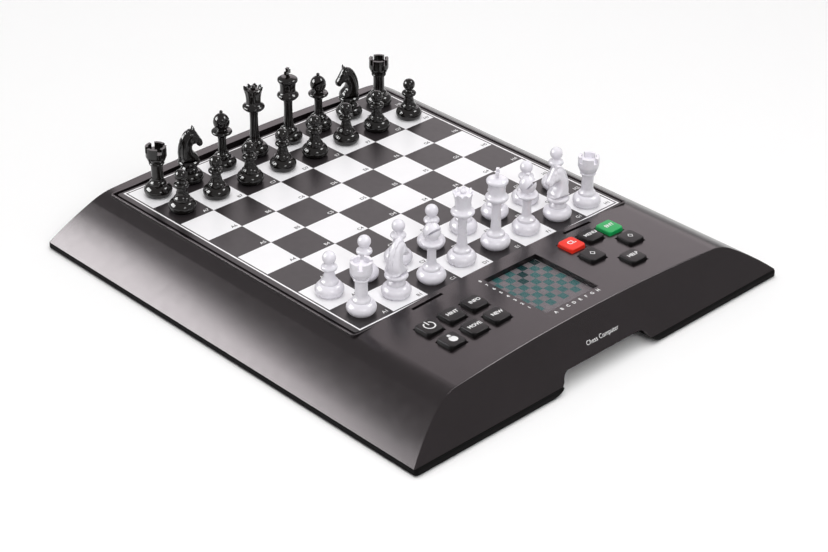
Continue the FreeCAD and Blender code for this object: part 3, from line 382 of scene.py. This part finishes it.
def arc(start, middle, end, steps):
    """Points of an arc through three points, without the first."""
    (ax, ay), (bx, by), (cx, cy) = start, middle, end
    bend = 2 * (ax * (by - cy) + bx * (cy - ay) + cx * (ay - by))
    if abs(bend) < STRAIGHT:
        return [end]
    sa, sb, sc = ax * ax + ay * ay, bx * bx + by * by, cx * cx + cy * cy
    ux = (sa * (by - cy) + sb * (cy - ay) + sc * (ay - by)) / bend
    uy = (sa * (cx - bx) + sb * (ax - cx) + sc * (bx - ax)) / bend
    radius = math.hypot(ax - ux, ay - uy)
    first = math.atan2(ay - uy, ax - ux)
    via = math.atan2(by - uy, bx - ux)
    last = math.atan2(cy - uy, cx - ux)
    turn = (last - first) % (2 * math.pi)
    if (via - first) % (2 * math.pi) > turn:
        turn -= 2 * math.pi
    made = []
    for step in range(1, steps + 1):
        angle = first + turn * step / steps
        made.append((ux + radius * math.cos(angle), uy + radius * math.sin(angle)))
    return made


def outline(profile, steps=9):
    """Turns profile steps, straight or through a mid-point, into points."""
    points = [profile[0][:2]]
    for step in profile[1:]:
        if len(step) == 4:
            points += arc(points[-1], step[2:], step[:2], steps)
        else:
            points.append(step[:2])
    return points


def lathe(profile, segments=64, warp=None):
    """Vertices and faces of a turned form, in millimetres, closed on the axis."""
    points = outline(profile)
    verts = [(0.0, 0.0, points[0][1])]
    rings = []
    faces = []
    for radius, height in points:
        if radius < ON_AXIS:
            continue
        rings.append(len(verts))
        for number in range(segments):
            angle = 2 * math.pi * number / segments
            r, z = (radius, height) if warp is None else warp(radius, height, angle)
            verts.append((r * math.cos(angle), r * math.sin(angle), z))
    for number in range(segments):
        faces.append((0, rings[0] + (number + 1) % segments, rings[0] + number))
    for low, high in zip(rings, rings[1:]):
        for number in range(segments):
            after = (number + 1) % segments
            faces.append((low + number, low + after, high + after, high + number))
    top = len(verts)
    verts.append((0.0, 0.0, points[-1][1]))
    for number in range(segments):
        faces.append((rings[-1] + number, rings[-1] + (number + 1) % segments, top))
    return verts, faces


def joined(*forms):
    """Several closed forms in one list of vertices and faces."""
    verts, faces = [], []
    for more_verts, more_faces in forms:
        start = len(verts)
        verts += list(more_verts)
        faces += [tuple(start + index for index in face) for face in more_faces]
    return verts, faces


def extruded(points, low, high):
    """Prism over a flat outline."""
    count = len(points)
    verts = [(x, y, low) for x, y in points] + [(x, y, high) for x, y in points]
    faces = [tuple(reversed(range(count))), tuple(range(count, 2 * count))]
    faces += [(i, (i + 1) % count, count + (i + 1) % count, count + i) for i in range(count)]
    return verts, faces


# ------------------------------------------------------------------ chessmen
# Profiles in millimetres: (radius, height), or (radius, height, radius, height) for an arc to the
# first point through the second.
def beaded_foot(radius):
    """Common foot: a bead that slopes up to a narrow ring."""
    return [
        (radius * 0.76, 0.0), (radius * 0.82, 0.3, radius * 0.80, 0.05),
        (radius * 0.87, 5.6, radius, 3.1), (radius * 0.62, 6.95, radius * 0.76, 6.45),
        (radius * 0.59, 8.4, radius * 0.613, 7.7), (radius * 0.54, 8.7),
    ]


PAWN = beaded_foot(7.95) + [
    (3.2, 11.6, 3.6, 9.8), (2.45, 14.5, 2.75, 13.0), (3.2, 14.8), (3.6, 15.0),
    (3.5, 17.5, 4.42, 16.2), (2.6, 18.0), (2.2, 18.4), (2.1, 18.98), (0.0, 25.7, 3.68, 22.0),
]
ROOK = beaded_foot(8.15) + [
    (3.5, 11.6, 3.75, 9.7), (3.4, 15.4, 3.42, 13.6), (3.42, 19.3), (4.2, 19.6),
    (4.3, 20.7, 4.5, 20.15), (3.85, 21.0), (3.85, 21.4), (4.5, 21.6), (4.95, 22.0), (5.9, 24.4),
    (6.05, 25.2, 6.03, 24.85), (6.07, 27.6), (4.5, 27.6), (0.0, 27.6),
]
KNIGHT = beaded_foot(8.2) + [
    (3.55, 9.9, 4.0, 9.25), (3.6, 10.4), (5.6, 11.0, 4.4, 10.85), (5.9, 11.3),
    (5.9, 13.4, 6.45, 12.35), (5.5, 13.8), (0.0, 13.8),
]
BISHOP = beaded_foot(8.1) + [
    (2.7, 11.4, 3.25, 9.6), (2.4, 17.0, 2.48, 14.0), (2.6, 19.8, 2.45, 18.6),
    (5.0, 21.9, 3.6, 21.2), (5.5, 22.3), (5.3, 24.2, 6.15, 23.3), (3.3, 24.6), (3.0, 24.9),
    (3.0, 25.3), (1.0, 34.8, 4.85, 28.9), (0.72, 35.1), (0.0, 36.8, 1.05, 35.9),
]
QUEEN = beaded_foot(8.2) + [
    (3.0, 11.4, 3.45, 9.6), (2.45, 22.0, 2.62, 16.0), (2.7, 28.0, 2.5, 25.5), (3.4, 28.6),
    (5.7, 29.7, 4.7, 29.0), (6.4, 30.4), (6.0, 32.2, 6.6, 31.4), (5.1, 32.9), (4.6, 33.3),
    (4.4, 34.0), (5.6, 42.2, 4.7, 38.6), (5.9, 43.5), (5.0, 43.5), (4.2, 41.4),
    (1.3, 42.5, 3.0, 42.3), (0.0, 44.6, 1.5, 43.9),
]
KING = beaded_foot(8.35) + [
    (3.0, 11.4, 3.5, 9.6), (2.6, 20.6, 2.75, 15.5), (2.75, 27.2, 2.6, 24.5), (3.4, 27.9),
    (5.6, 28.9, 4.7, 28.2), (6.3, 29.7), (5.9, 31.6, 6.5, 30.7), (5.0, 32.3), (4.75, 32.7),
    (4.7, 33.8), (5.1, 38.6, 4.72, 36.4), (5.9, 39.5, 5.5, 39.0), (5.9, 41.2, 6.1, 40.4),
    (1.7, 42.7, 4.1, 42.3), (1.0, 43.0), (0.0, 43.0),
]


def rook_form():
    """Tower with four merlons round a hollow top."""
    inner, outer, low, high = 4.4, 6.07, 27.5, 30.8
    merlons = 4
    gap = 0.27
    steps = 10
    forms = [lathe(ROOK)]
    for number in range(merlons):
        first = 2 * math.pi * (number + gap / 2) / merlons
        last = 2 * math.pi * (number + 1 - gap / 2) / merlons
        angles = [first + (last - first) * step / steps for step in range(steps + 1)]
        ring = [(outer * math.cos(angle), outer * math.sin(angle)) for angle in angles]
        ring += [(inner * math.cos(angle), inner * math.sin(angle)) for angle in reversed(angles)]
        forms.append(extruded(ring, low, high))
    return joined(*forms)


def queen_form():
    """Fluted crown with a scalloped rim."""
    flutes = 9
    flute_low, flute_full = 34.5, 40.5
    flute_depth = 0.055
    scallop_depth = 1.5
    # Only points outside these radii and above these heights are fluted and scalloped.
    flute_radius, flute_foot = 3.9, 34.2
    rim_radius, rim_height = 4.6, 43.0

    def crown(radius, height, angle):
        """Draws the crown in and down between its points."""
        rise = min(1.0, max(0.0, (height - flute_low) / (flute_full - flute_low)))
        wave = 0.5 - 0.5 * math.cos(flutes * angle)
        if radius > flute_radius and height > flute_foot:
            radius *= 1.0 - flute_depth * rise * wave
        if radius > rim_radius and height > rim_height:
            height -= scallop_depth * wave
        return radius, height

    return lathe(QUEEN, 12 * flutes, crown)


def king_form():
    """Domed crown with a flared cross."""
    half_thick = 0.85
    half = [
        (0.75, 42.4), (0.55, 43.6), (0.5, 44.6), (1.3, 44.25), (2.45, 44.1), (2.45, 46.3),
        (1.3, 46.15), (0.5, 45.8), (0.62, 46.8), (1.15, 48.0),
    ]
    cross = half + [(-x, z) for x, z in reversed(half)]
    verts, faces = extruded(cross, -half_thick, half_thick)
    upright = [(x, z, y) for x, y, z in verts]
    return joined(lathe(KING), (upright, faces))


# Side view of the horse's head: the first points run up the mane.
MANE_POINTS = 14
HORSE = [
    (-5.5, 13.7), (-6.0, 15.2), (-6.35, 17.4), (-6.35, 20.0), (-5.95, 22.8), (-5.2, 25.5),
    (-4.2, 28.0), (-3.0, 30.0), (-1.5, 31.6), (0.1, 32.6), (1.5, 33.0), (2.5, 32.9), (3.1, 33.5),
    (3.75, 34.2), (4.1, 33.6), (4.2, 32.4), (4.9, 31.3), (5.6, 30.1), (6.3, 28.8), (7.1, 27.3),
    (7.9, 25.9), (8.6, 24.7), (8.85, 23.7), (8.7, 22.7), (8.1, 21.9), (7.3, 21.4), (6.4, 21.3),
    (5.7, 21.7), (5.0, 22.6), (4.2, 23.3), (3.3, 23.5), (2.6, 23.1), (2.2, 22.2), (2.15, 21.0),
    (2.5, 19.7), (3.3, 18.6), (4.3, 17.6), (5.2, 16.5), (5.6, 15.2), (5.3, 13.7),
]
SMOOTH_PARTS = 3


def smoothed(points):
    """Closed Catmull-Rom curve through points."""
    count = len(points)
    made = []
    for index in range(count):
        p0, p1, p2, p3 = (Vector(points[(index + k - 1) % count]) for k in range(4))
        for part in range(SMOOTH_PARTS):
            t = part / SMOOTH_PARTS
            made.append(
                0.5 * ((2 * p1) + (p2 - p0) * t + (2 * p0 - 5 * p1 + 4 * p2 - p3) * t**2
                       + (3 * p1 - p0 - 3 * p2 + p3) * t**3)
            )
    return made


def to_edge(point, ring):
    """Distance from a point to an outline, and how far along the outline it is."""
    best, along = 1e9, 0.0
    for index, a in enumerate(ring):
        b = ring[(index + 1) % len(ring)]
        side = b - a
        t = max(0.0, min(1.0, (point - a).dot(side) / max(side.length_squared, 1e-12)))
        gap = (point - (a + side * t)).length
        if gap < best:
            best, along = gap, index + t
    return best, along


def inside(point, ring):
    """Whether a point lies inside an outline."""
    hit = False
    for index, a in enumerate(ring):
        b = ring[(index + 1) % len(ring)]
        if (a.y > point.y) != (b.y > point.y):
            if point.x < (b.x - a.x) * (point.y - a.y) / (b.y - a.y) + a.x:
                hit = not hit
    return hit


def horse_head():
    """Horse's head and neck: the side outline given a carved, rounded thickness."""
    ring = smoothed(HORSE)
    mane_end = MANE_POINTS * SMOOTH_PARTS
    # A triangular grid fills the outline.
    pitch, row_squash = 0.42, 0.87
    rows, columns = 60, 45
    left, foot = -7.0, 13.4
    edge_gap = 0.22
    inner = []
    for row in range(rows):
        for column in range(columns):
            shift = 0.5 * pitch * (row % 2)
            point = Vector((left + pitch * column + shift, foot + pitch * row * row_squash))
            if inside(point, ring) and to_edge(point, ring)[0] > edge_gap:
                inner.append(point)
    count = len(ring)
    loop = [(i, (i + 1) % count) for i in range(count)]
    flat = delaunay_2d_cdt(ring + inner, loop, [tuple(range(count))], 1, 1e-6)
    points, triangles, origins = flat[0], flat[2], flat[3]

    # Half thickness at the foot of the neck and at the crown, and the heights between them.
    wide_low, wide_high = 5.3, 2.5
    neck_low, neck_run, neck_power = 15.0, 17.0, 0.8
    full_height = neck_low + 0.5
    thin_least = 0.15
    # The face is thinner from its cheek to its mouth.
    face_foot, face_start, face_run, face_loss = 20.5, 2.5, 4.0, 0.5
    # Width over which the edge rolls round, and the ridge of the mane with its locks.
    roll = 2.6
    mane_foot, mane_ridge, mane_round, mane_set = 14.2, 1.35, 0.6, 1.0
    lock_rise, lock_rate = 0.12, 1.15
    eye, eye_size, eye_rise = Vector((4.5, 29.2)), 1.0, 0.45
    nostril, nostril_size, nostril_sink = Vector((7.8, 23.6)), 0.6, 0.5
    cheek, cheek_size, cheek_rise = Vector((3.6, 26.2)), 2.6, 0.5

    def half(point):
        """Half thickness at a point of the side view."""
        gap, along = to_edge(point, ring)
        height = point.y
        up = min(1.0, max(0.0, (height - neck_low) / neck_run)) ** neck_power
        wide = wide_low + (wide_high - wide_low) * up
        if height < full_height:
            wide = wide_low
        if height > face_foot:
            wide -= face_loss * min(1.0, max(0.0, (point.x - face_start) / face_run))
        mane = along < mane_end and height > mane_foot
        start = mane_set if mane else 0.0
        inward = min(1.0, max(0.0, (gap - start) / roll))
        thick = wide * math.sqrt(max(0.0, 1.0 - (1.0 - inward) ** 2))
        if mane:
            lock = lock_rise * math.sin(along * lock_rate)
            rounding = math.sqrt(1.0 - (1.0 - min(1.0, gap / mane_round)) ** 2)
            thick = max(thick, (mane_ridge + lock) * rounding)
        from_eye = (point - eye).length
        if from_eye < eye_size:
            thick += eye_rise * math.cos(from_eye * math.pi / (2 * eye_size))
        from_nostril = (point - nostril).length
        if from_nostril < nostril_size:
            thick -= nostril_sink * math.cos(from_nostril * math.pi / (2 * nostril_size))
        from_cheek = (point - cheek).length
        if from_cheek < cheek_size:
            thick += cheek_rise * (1 - (from_cheek / cheek_size) ** 2)
        return max(thin_least, thick)

    verts = []
    upper, lower = [], []
    for point, origin in zip(points, origins):
        on_ring = any(source < count for source in origin)
        upper.append(len(verts))
        if on_ring:
            lower.append(len(verts))
            verts.append((point.x, 0.0, point.y))
        else:
            lower.append(len(verts) + 1)
            thick = half(point)
            verts += [(point.x, thick, point.y), (point.x, -thick, point.y)]
    faces = [tuple(upper[i] for i in tri) for tri in triangles]
    faces += [tuple(lower[i] for i in reversed(tri)) for tri in triangles]
    return verts, faces


def ear(side):
    """One pricked ear."""
    rows = [(1.0, 31.6), (0.95, 32.6), (0.65, 33.6), (0.12, 34.5)]
    count = 10
    foot_x, foot_y = 3.2, 1.35
    lean_rate, spread = 0.10, 0.6
    along, across = 0.8, 0.7
    verts, faces = [], []
    for radius, height in rows:
        lean = (height - rows[0][1]) * lean_rate
        for number in range(count):
            angle = 2 * math.pi * number / count
            x = foot_x + lean + radius * along * math.cos(angle)
            y = side * (foot_y + lean * spread) + radius * across * math.sin(angle)
            verts.append((x, y, height))
    for row in range(len(rows) - 1):
        low, high = row * count, (row + 1) * count
        for number in range(count):
            after = (number + 1) % count
            faces.append((low + number, low + after, high + after, high + number))
    faces.append(tuple(reversed(range(count))))
    faces.append(tuple(range((len(rows) - 1) * count, len(rows) * count)))
    return verts, faces


def new_object(name, form):
    """Object in the scene from vertices and faces, with its faces turned outwards."""
    verts, faces = form
    mesh = bpy.data.meshes.new(name)
    mesh.from_pydata(verts, [], faces)
    shape = bmesh.new()
    shape.from_mesh(mesh)
    bmesh.ops.recalc_face_normals(shape, faces=shape.faces)
    shape.to_mesh(mesh)
    shape.free()
    made = bpy.data.objects.new(name, mesh)
    bpy.context.scene.collection.objects.link(made)
    return made


def cut_slit(form):
    """Takes the sloping slit out of a bishop's mitre."""
    half_long, half_deep, half_wide = 5.2, 7.0, 0.55
    middle = (4.3, 0, 32.3)
    slope = math.radians(-52)
    corners = [(x, y, z) for x in (-half_long, half_long) for y in (-half_deep, half_deep)
               for z in (-half_wide, half_wide)]
    sides = [(0, 1, 3, 2), (4, 6, 7, 5), (0, 4, 5, 1), (2, 3, 7, 6), (0, 2, 6, 4), (1, 5, 7, 3)]
    body = new_object("mitre", form)
    blade = new_object("blade", (corners, sides))
    blade.matrix_world = Matrix.Translation(middle) @ Matrix.Rotation(slope, 4, "Y")
    modifier = body.modifiers.new("slit", "BOOLEAN")
    modifier.operation = "DIFFERENCE"
    modifier.solver = "EXACT"
    modifier.object = blade
    bpy.context.view_layer.update()
    graph = bpy.context.evaluated_depsgraph_get()
    carved = bpy.data.meshes.new_from_object(body.evaluated_get(graph))
    result = [tuple(v.co) for v in carved.vertices], [tuple(p.vertices) for p in carved.polygons]
    bpy.data.objects.remove(body)
    bpy.data.objects.remove(blade)
    return result


FORMS = {
    "pawn": lathe(PAWN),
    "rook": rook_form(),
    "knight": joined(lathe(KNIGHT), horse_head(), ear(-1), ear(1)),
    "bishop": cut_slit(lathe(BISHOP)),
    "queen": queen_form(),
    "king": king_form(),
}
# Which way each man is turned on its square, in degrees.
TURNS = {
    "white_knight_b1": 12.0, "white_knight_g1": 171.0,
    "black_knight_b8": -19.0, "black_knight_g8": 161.0,
    "white_bishop_c1": 266.0, "white_bishop_f1": 290.0,
    "black_bishop_c8": 275.0, "black_bishop_f8": 262.0,
    "white_king_e1": 35.0, "black_king_e8": 20.0,
    "white_rook_a1": 43.0, "white_rook_h1": 83.0, "black_rook_a8": 73.0, "black_rook_h8": 1.0,
}


def standing_place(node):
    """Middle of the disc that a man stands on."""
    points = [vertex.co for vertex in frame["nodes"][node].data.vertices]
    low = min(point.z for point in points)
    flat = 0.05 * MM
    disc = [point for point in points if point.z < low + flat]
    x = (min(point.x for point in disc) + max(point.x for point in disc)) / 2
    y = (min(point.y for point in disc) + max(point.y for point in disc)) / 2
    return Vector((x, y, low))


for body in frame["bodies"]:
    if not body.startswith(("white_", "black_")):
        continue
    colour, kind = body.split("_")[:2]
    verts, faces = FORMS[kind]
    turn = Matrix.Rotation(math.radians(TURNS.get(body, 0.0)), 4, "Z")
    place = Matrix.Translation(standing_place(body)) @ turn @ Matrix.Scale(MM, 4)
    moved = [place @ Vector(v) for v in verts]
    material = WHITE if colour == "white" else BLACK
    piece(body + "_turned", moved, faces, material, body, body)

# ------------------------------------------------------------------ keys
KEY_MATERIALS = {"key_cancel": (RED_KEY, "red_key"), "key_enter": (GREEN_KEY, "green_key")}
CAP_TAPER = 0.15 * MM
CAP_ROUND = 0.65 * MM
CORNER_STEPS = 6


def rounded_square(half_x, half_y, corner):
    """Points round a rectangle with rounded corners."""
    points = []
    for cx, cy, first in ((1, 1, 0), (-1, 1, 90), (-1, -1, 180), (1, -1, 270)):
        for step in range(CORNER_STEPS + 1):
            angle = math.radians(first + 90 * step / CORNER_STEPS)
            points.append((cx * (half_x - corner) + corner * math.cos(angle),
                           cy * (half_y - corner) + corner * math.sin(angle)))
    return points


def key_cap(name):
    """Makes a soft-edged cap on a flange; gives its centre and the height of its top."""
    low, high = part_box(name)
    centre = (low + high) / 2
    deck = deck_at(centre.x)
    half_x = (high.x - low.x) / 2
    half_y = (high.y - low.y) / 2
    lip = 1.0 * MM
    flange_corner, flange_thick, flange_round = 0.6 * MM, 1.1 * MM, 0.1 * MM
    skirt_corner, skirt_rise = 1.7 * MM, 0.3 * MM
    cap_corner, corner_loss = 2.1 * MM, 0.6
    round_steps = 7
    rows = [
        (half_x, half_y, flange_corner, low.z),
        (half_x, half_y, flange_corner, low.z + flange_thick),
        (half_x - lip, half_y - lip, skirt_corner, low.z + flange_thick + flange_round),
        (half_x - lip, half_y - lip, skirt_corner, deck + skirt_rise),
    ]
    for step in range(round_steps + 1):
        angle = math.radians(90 * step / round_steps)
        inset = CAP_TAPER + CAP_ROUND * (1 - math.cos(angle))
        rows.append((half_x - lip - inset, half_y - lip - inset, cap_corner - corner_loss * inset,
                     high.z - CAP_ROUND * (1 - math.sin(angle))))
    verts, faces = [], []
    count = 4 * (CORNER_STEPS + 1)
    for wide, deep, corner, height in rows:
        for x, y in rounded_square(wide, deep, corner):
            verts.append((centre.x + x, centre.y + y, height))
    for row in range(len(rows) - 1):
        under, over = row * count, (row + 1) * count
        for number in range(count):
            after = (number + 1) % count
            faces.append((under + number, under + after, over + after, over + number))
    faces.append(tuple(reversed(range(count))))
    faces.append(tuple(range((len(rows) - 1) * count, len(rows) * count)))
    material, slot = KEY_MATERIALS.get(name, (DARK_KEY, "dark_key"))
    piece(name + "_cap", verts, faces, material, name, name, angle=45.0)
    return centre, high.z


# ------------------------------------------------------------------ print
def lettering(name, words, body, material, weight=0.03):
    """One flat printed piece from words, each a text, a place and a letter height."""
    parts = []
    for text, matrix, height in words:
        curve = bpy.data.curves.new(name, "FONT")
        curve.body = text
        curve.size = height
        curve.align_x = "CENTER"
        curve.align_y = "CENTER"
        curve.resolution_u = 3
        curve.offset = height * weight
        item = bpy.data.objects.new(name, curve)
        bpy.context.scene.collection.objects.link(item)
        bpy.context.view_layer.update()
        graph = bpy.context.evaluated_depsgraph_get()
        mesh = bpy.data.meshes.new_from_object(item.evaluated_get(graph))
        points = [tuple(matrix @ v.co) for v in mesh.vertices]
        parts.append((points, [tuple(p.vertices) for p in mesh.polygons]))
        bpy.data.objects.remove(item)
    verts, faces = joined(*parts)
    return piece(name, verts, faces, material, body)


# Height of print above the face it is on.
LIFT = 0.04 * MM


def lying(x, y, z):
    """Place of print that lies flat, read from the player's side."""
    return Matrix.Translation((x, y, z + LIFT))


# Words on the keys, each with its letter height in millimetres.
LEGENDS = {
    "key_hint": ("HINT", 3.4), "key_info": ("INFO", 3.4), "key_move": ("MOVE", 3.4),
    "key_new_game": ("NEW", 3.4), "key_menu": ("MENU", 3.4), "key_help": ("HELP", 3.4),
    "key_cancel": ("CL", 4.4), "key_enter": ("ENT", 3.5),
}
LEGEND_SHIFT = 0.6 * MM


def ring_form(radius, width, first=0.0, last=360.0):
    """Flat ring or part of one."""
    steps = 28
    verts, faces = [], []
    for step in range(steps + 1):
        angle = math.radians(first + (last - first) * step / steps)
        for reach in (radius - width / 2, radius + width / 2):
            verts.append((reach * math.cos(angle), reach * math.sin(angle), 0.0))
        if step:
            k = 2 * step
            faces.append((k - 2, k - 1, k + 1, k))
    return verts, faces


def bar_form(x0, y0, x1, y1):
    """Flat rectangle."""
    return [(x0, y0, 0.0), (x1, y0, 0.0), (x1, y1, 0.0), (x0, y1, 0.0)], [(0, 1, 2, 3)]


def line_form(points, width):
    """Flat stroke along straight runs."""
    forms = []
    for (ax, ay), (bx, by) in zip(points, points[1:]):
        run = Vector((bx - ax, by - ay))
        side = Vector((-run.y, run.x)).normalized() * width / 2
        tip = run.normalized() * width / 2
        a, b = Vector((ax, ay)) - tip, Vector((bx, by)) + tip
        corners = [a + side, b + side, b - side, a - side]
        forms.append(([(c.x, c.y, 0.0) for c in corners], [(3, 2, 1, 0)]))
    return joined(*forms)


def disc_form(x, y, radius):
    """Flat disc."""
    verts, faces = ring_form(radius / 2, radius)
    return [(vx + x, vy + y, vz) for vx, vy, vz in verts], faces


# Symbols on the keys, in millimetres from the middle.
RING_STROKE = 0.8
STROKE = 0.5
DIAMOND = [(1.5, 0.0), (0.0, 1.65), (-1.5, 0.0), (0.0, -1.65), (1.5, 0.0)]
SYMBOLS = {
    "key_power": joined(ring_form(3.1, RING_STROKE, 118, 422), bar_form(-0.4, 0.3, 0.4, 4.2)),
    "key_piece_values": joined(disc_form(0.0, 2.35, 1.1), disc_form(0.0, -1.0, 2.5),
                               bar_form(-0.75, 0.9, 0.75, 1.8)),
    "key_cursor_left": line_form(DIAMOND, STROKE),
    "key_cursor_right": line_form(DIAMOND, STROKE),
}

for name in sorted(frame["bodies"]):
    if not name.startswith("key_"):
        continue
    centre, top = key_cap(name)
    where = lying(centre.x + LEGEND_SHIFT, centre.y + LEGEND_SHIFT, top)
    if name in LEGENDS:
        text, height = LEGENDS[name]
        lettering(name + "_legend", [(text, where, height * MM)], name, PRINT_WHITE)
    else:
        verts, faces = SYMBOLS[name]
        place = where @ Matrix.Scale(MM, 4)
        piece(name + "_symbol", [place @ Vector(v) for v in verts], faces, PRINT_WHITE, name)

# The name of a square stands in its near right corner. The outer names keep off the printed line.
NAME_ACROSS, NAME_ALONG = 0.868, 0.115
LINE_CLEAR = 0.05
SQUARE_NAME_HEIGHT = 3.4 * MM
SQUARE_NAME_WEIGHT = 0.015
on_light, on_dark = [], []
for file in range(8):
    for rank in range(8):
        x = (file - 4 + NAME_ACROSS) * SQUARE
        y = BOARD_Y + (rank - 4 + NAME_ALONG) * SQUARE
        if file == 7:
            x -= LINE_CLEAR * SQUARE
        if rank == 0:
            y += LINE_CLEAR * SQUARE
        word = (FILES[file] + str(rank + 1), lying(x, y, BOARD_TOP), SQUARE_NAME_HEIGHT)
        (on_dark if (file + rank) % 2 == 0 else on_light).append(word)
lettering("square_names_pale", on_dark, "case", PRINT_WHITE, weight=SQUARE_NAME_WEIGHT)
lettering("square_names_dark", on_light, "case", PRINT_DARK, weight=SQUARE_NAME_WEIGHT)

# Ranks run up the left side of the display and files run along its near side.
RANKS_X, FIRST_RANK_Y, RANK_PITCH = -0.0227, -0.1148, 0.00516
FILES_Y, FIRST_FILE_X, FILE_PITCH = -0.1276, -0.0160, 0.00468
DISPLAY_NAME_HEIGHT = 2.9 * MM
deck_words = []
for number in range(8):
    rank_place = lying(RANKS_X, FIRST_RANK_Y + number * RANK_PITCH, deck_at(RANKS_X))
    deck_words.append((str(number + 1), rank_place, DISPLAY_NAME_HEIGHT))
    x = FIRST_FILE_X + number * FILE_PITCH
    deck_words.append((FILES[number], lying(x, FILES_Y, deck_at(x)), DISPLAY_NAME_HEIGHT))
lettering("display_names", deck_words, "case", PRINT_WHITE)

# The front face leans back from its foot by this much for each unit of height.
FRONT_RUN = 0.58
FRONT_FOOT_Y = BASE_FRONT + 0.0012
FRONT_FOOT_Z = 0.0045
WORDS_X, WORDS_Z = 0.0022, 0.0168
front_place = (
    Matrix.Translation((WORDS_X, FRONT_FOOT_Y + FRONT_RUN * (WORDS_Z - FRONT_FOOT_Z), WORDS_Z))
    @ Matrix.Rotation(math.radians(90) - math.atan(FRONT_RUN), 4, "X")
    @ Matrix.Translation((0, 0, LIFT))
)
front_words = [("Chess Computer", front_place, 3.6 * MM)]
lettering("front_words", front_words, "case", PRINT_WHITE, weight=0.0)

# ------------------------------------------------------------------ studio
REACH = 30.0
floor_mesh = bpy.data.meshes.new("floor")
floor_corners = [(-REACH, -REACH, 0), (REACH, -REACH, 0), (REACH, REACH, 0), (-REACH, REACH, 0)]
floor_mesh.from_pydata(floor_corners, [], [(0, 1, 2, 3)])
floor_mesh.materials.append(floor_material())
floor = bpy.data.objects.new("floor", floor_mesh)
bpy.context.scene.collection.objects.link(floor)

world = bpy.data.worlds.new("studio")
bpy.context.scene.world = world
world.use_nodes = True
sky = world.node_tree.nodes["Background"].inputs
sky["Color"].default_value = (1.0, 0.985, 0.985, 1.0)
sky["Strength"].default_value = 0.42

# Point that the lights are aimed at.
MIDDLE = Vector((0.0, 0.0, 0.03))


def panel_light(name, place, width, height, power, reflected=True, lighting=True,
                tint=(1.0, 1.0, 1.0)):
    """Soft area light aimed at the object; it may be kept out of reflections, or only in them."""
    data = bpy.data.lights.new(name, "AREA")
    data.shape = "RECTANGLE"
    data.size = width
    data.size_y = height
    data.energy = power
    data.color = tint
    item = bpy.data.objects.new(name, data)
    item.location = place
    item.rotation_euler = (MIDDLE - Vector(place)).to_track_quat("-Z", "Y").to_euler()
    item.visible_glossy = reflected
    item.visible_diffuse = lighting
    bpy.context.scene.collection.objects.link(item)


panel_light("overhead", (0.1, 0.2, 1.6), 1.6, 1.6, 15.5, reflected=False)
panel_light("front_fill", (-0.5, -0.9, 1.3), 0.9, 0.9, 5.0, reflected=False)
panel_light("left_back", (-0.99, 1.02, 0.72), 1.04, 0.73, 34.5, lighting=False)
panel_light("right_back", (1.32, 1.20, 0.95), 1.6, 1.2, 7.5, lighting=False,
            tint=(1.0, 0.89, 0.93))
panel_light("edge_strip", (0.72, -0.42, 1.0), 0.5, 0.35, 6.6, lighting=False)
panel_light("front_box", (-0.45, -1.25, 0.95), 0.45, 0.45, 4.0)

# The camera was worked out from the corners of the squares and the foot of the case.
CAMERA_PLACE = (-0.71315, -0.74190, 0.60307)
CAMERA_TURN = (59.2474, -0.4994, -43.7350)
camera_data = bpy.data.cameras.new("camera")
camera_data.lens = 90.8
camera_data.sensor_width = 36.0
camera_data.clip_start = 0.05
camera = bpy.data.objects.new("camera", camera_data)
camera.location = CAMERA_PLACE
camera.rotation_euler = Euler([math.radians(angle) for angle in CAMERA_TURN], "XYZ")
bpy.context.scene.collection.objects.link(camera)
bpy.context.scene.camera = camera

bpy.context.scene.view_settings.view_transform = "Standard"
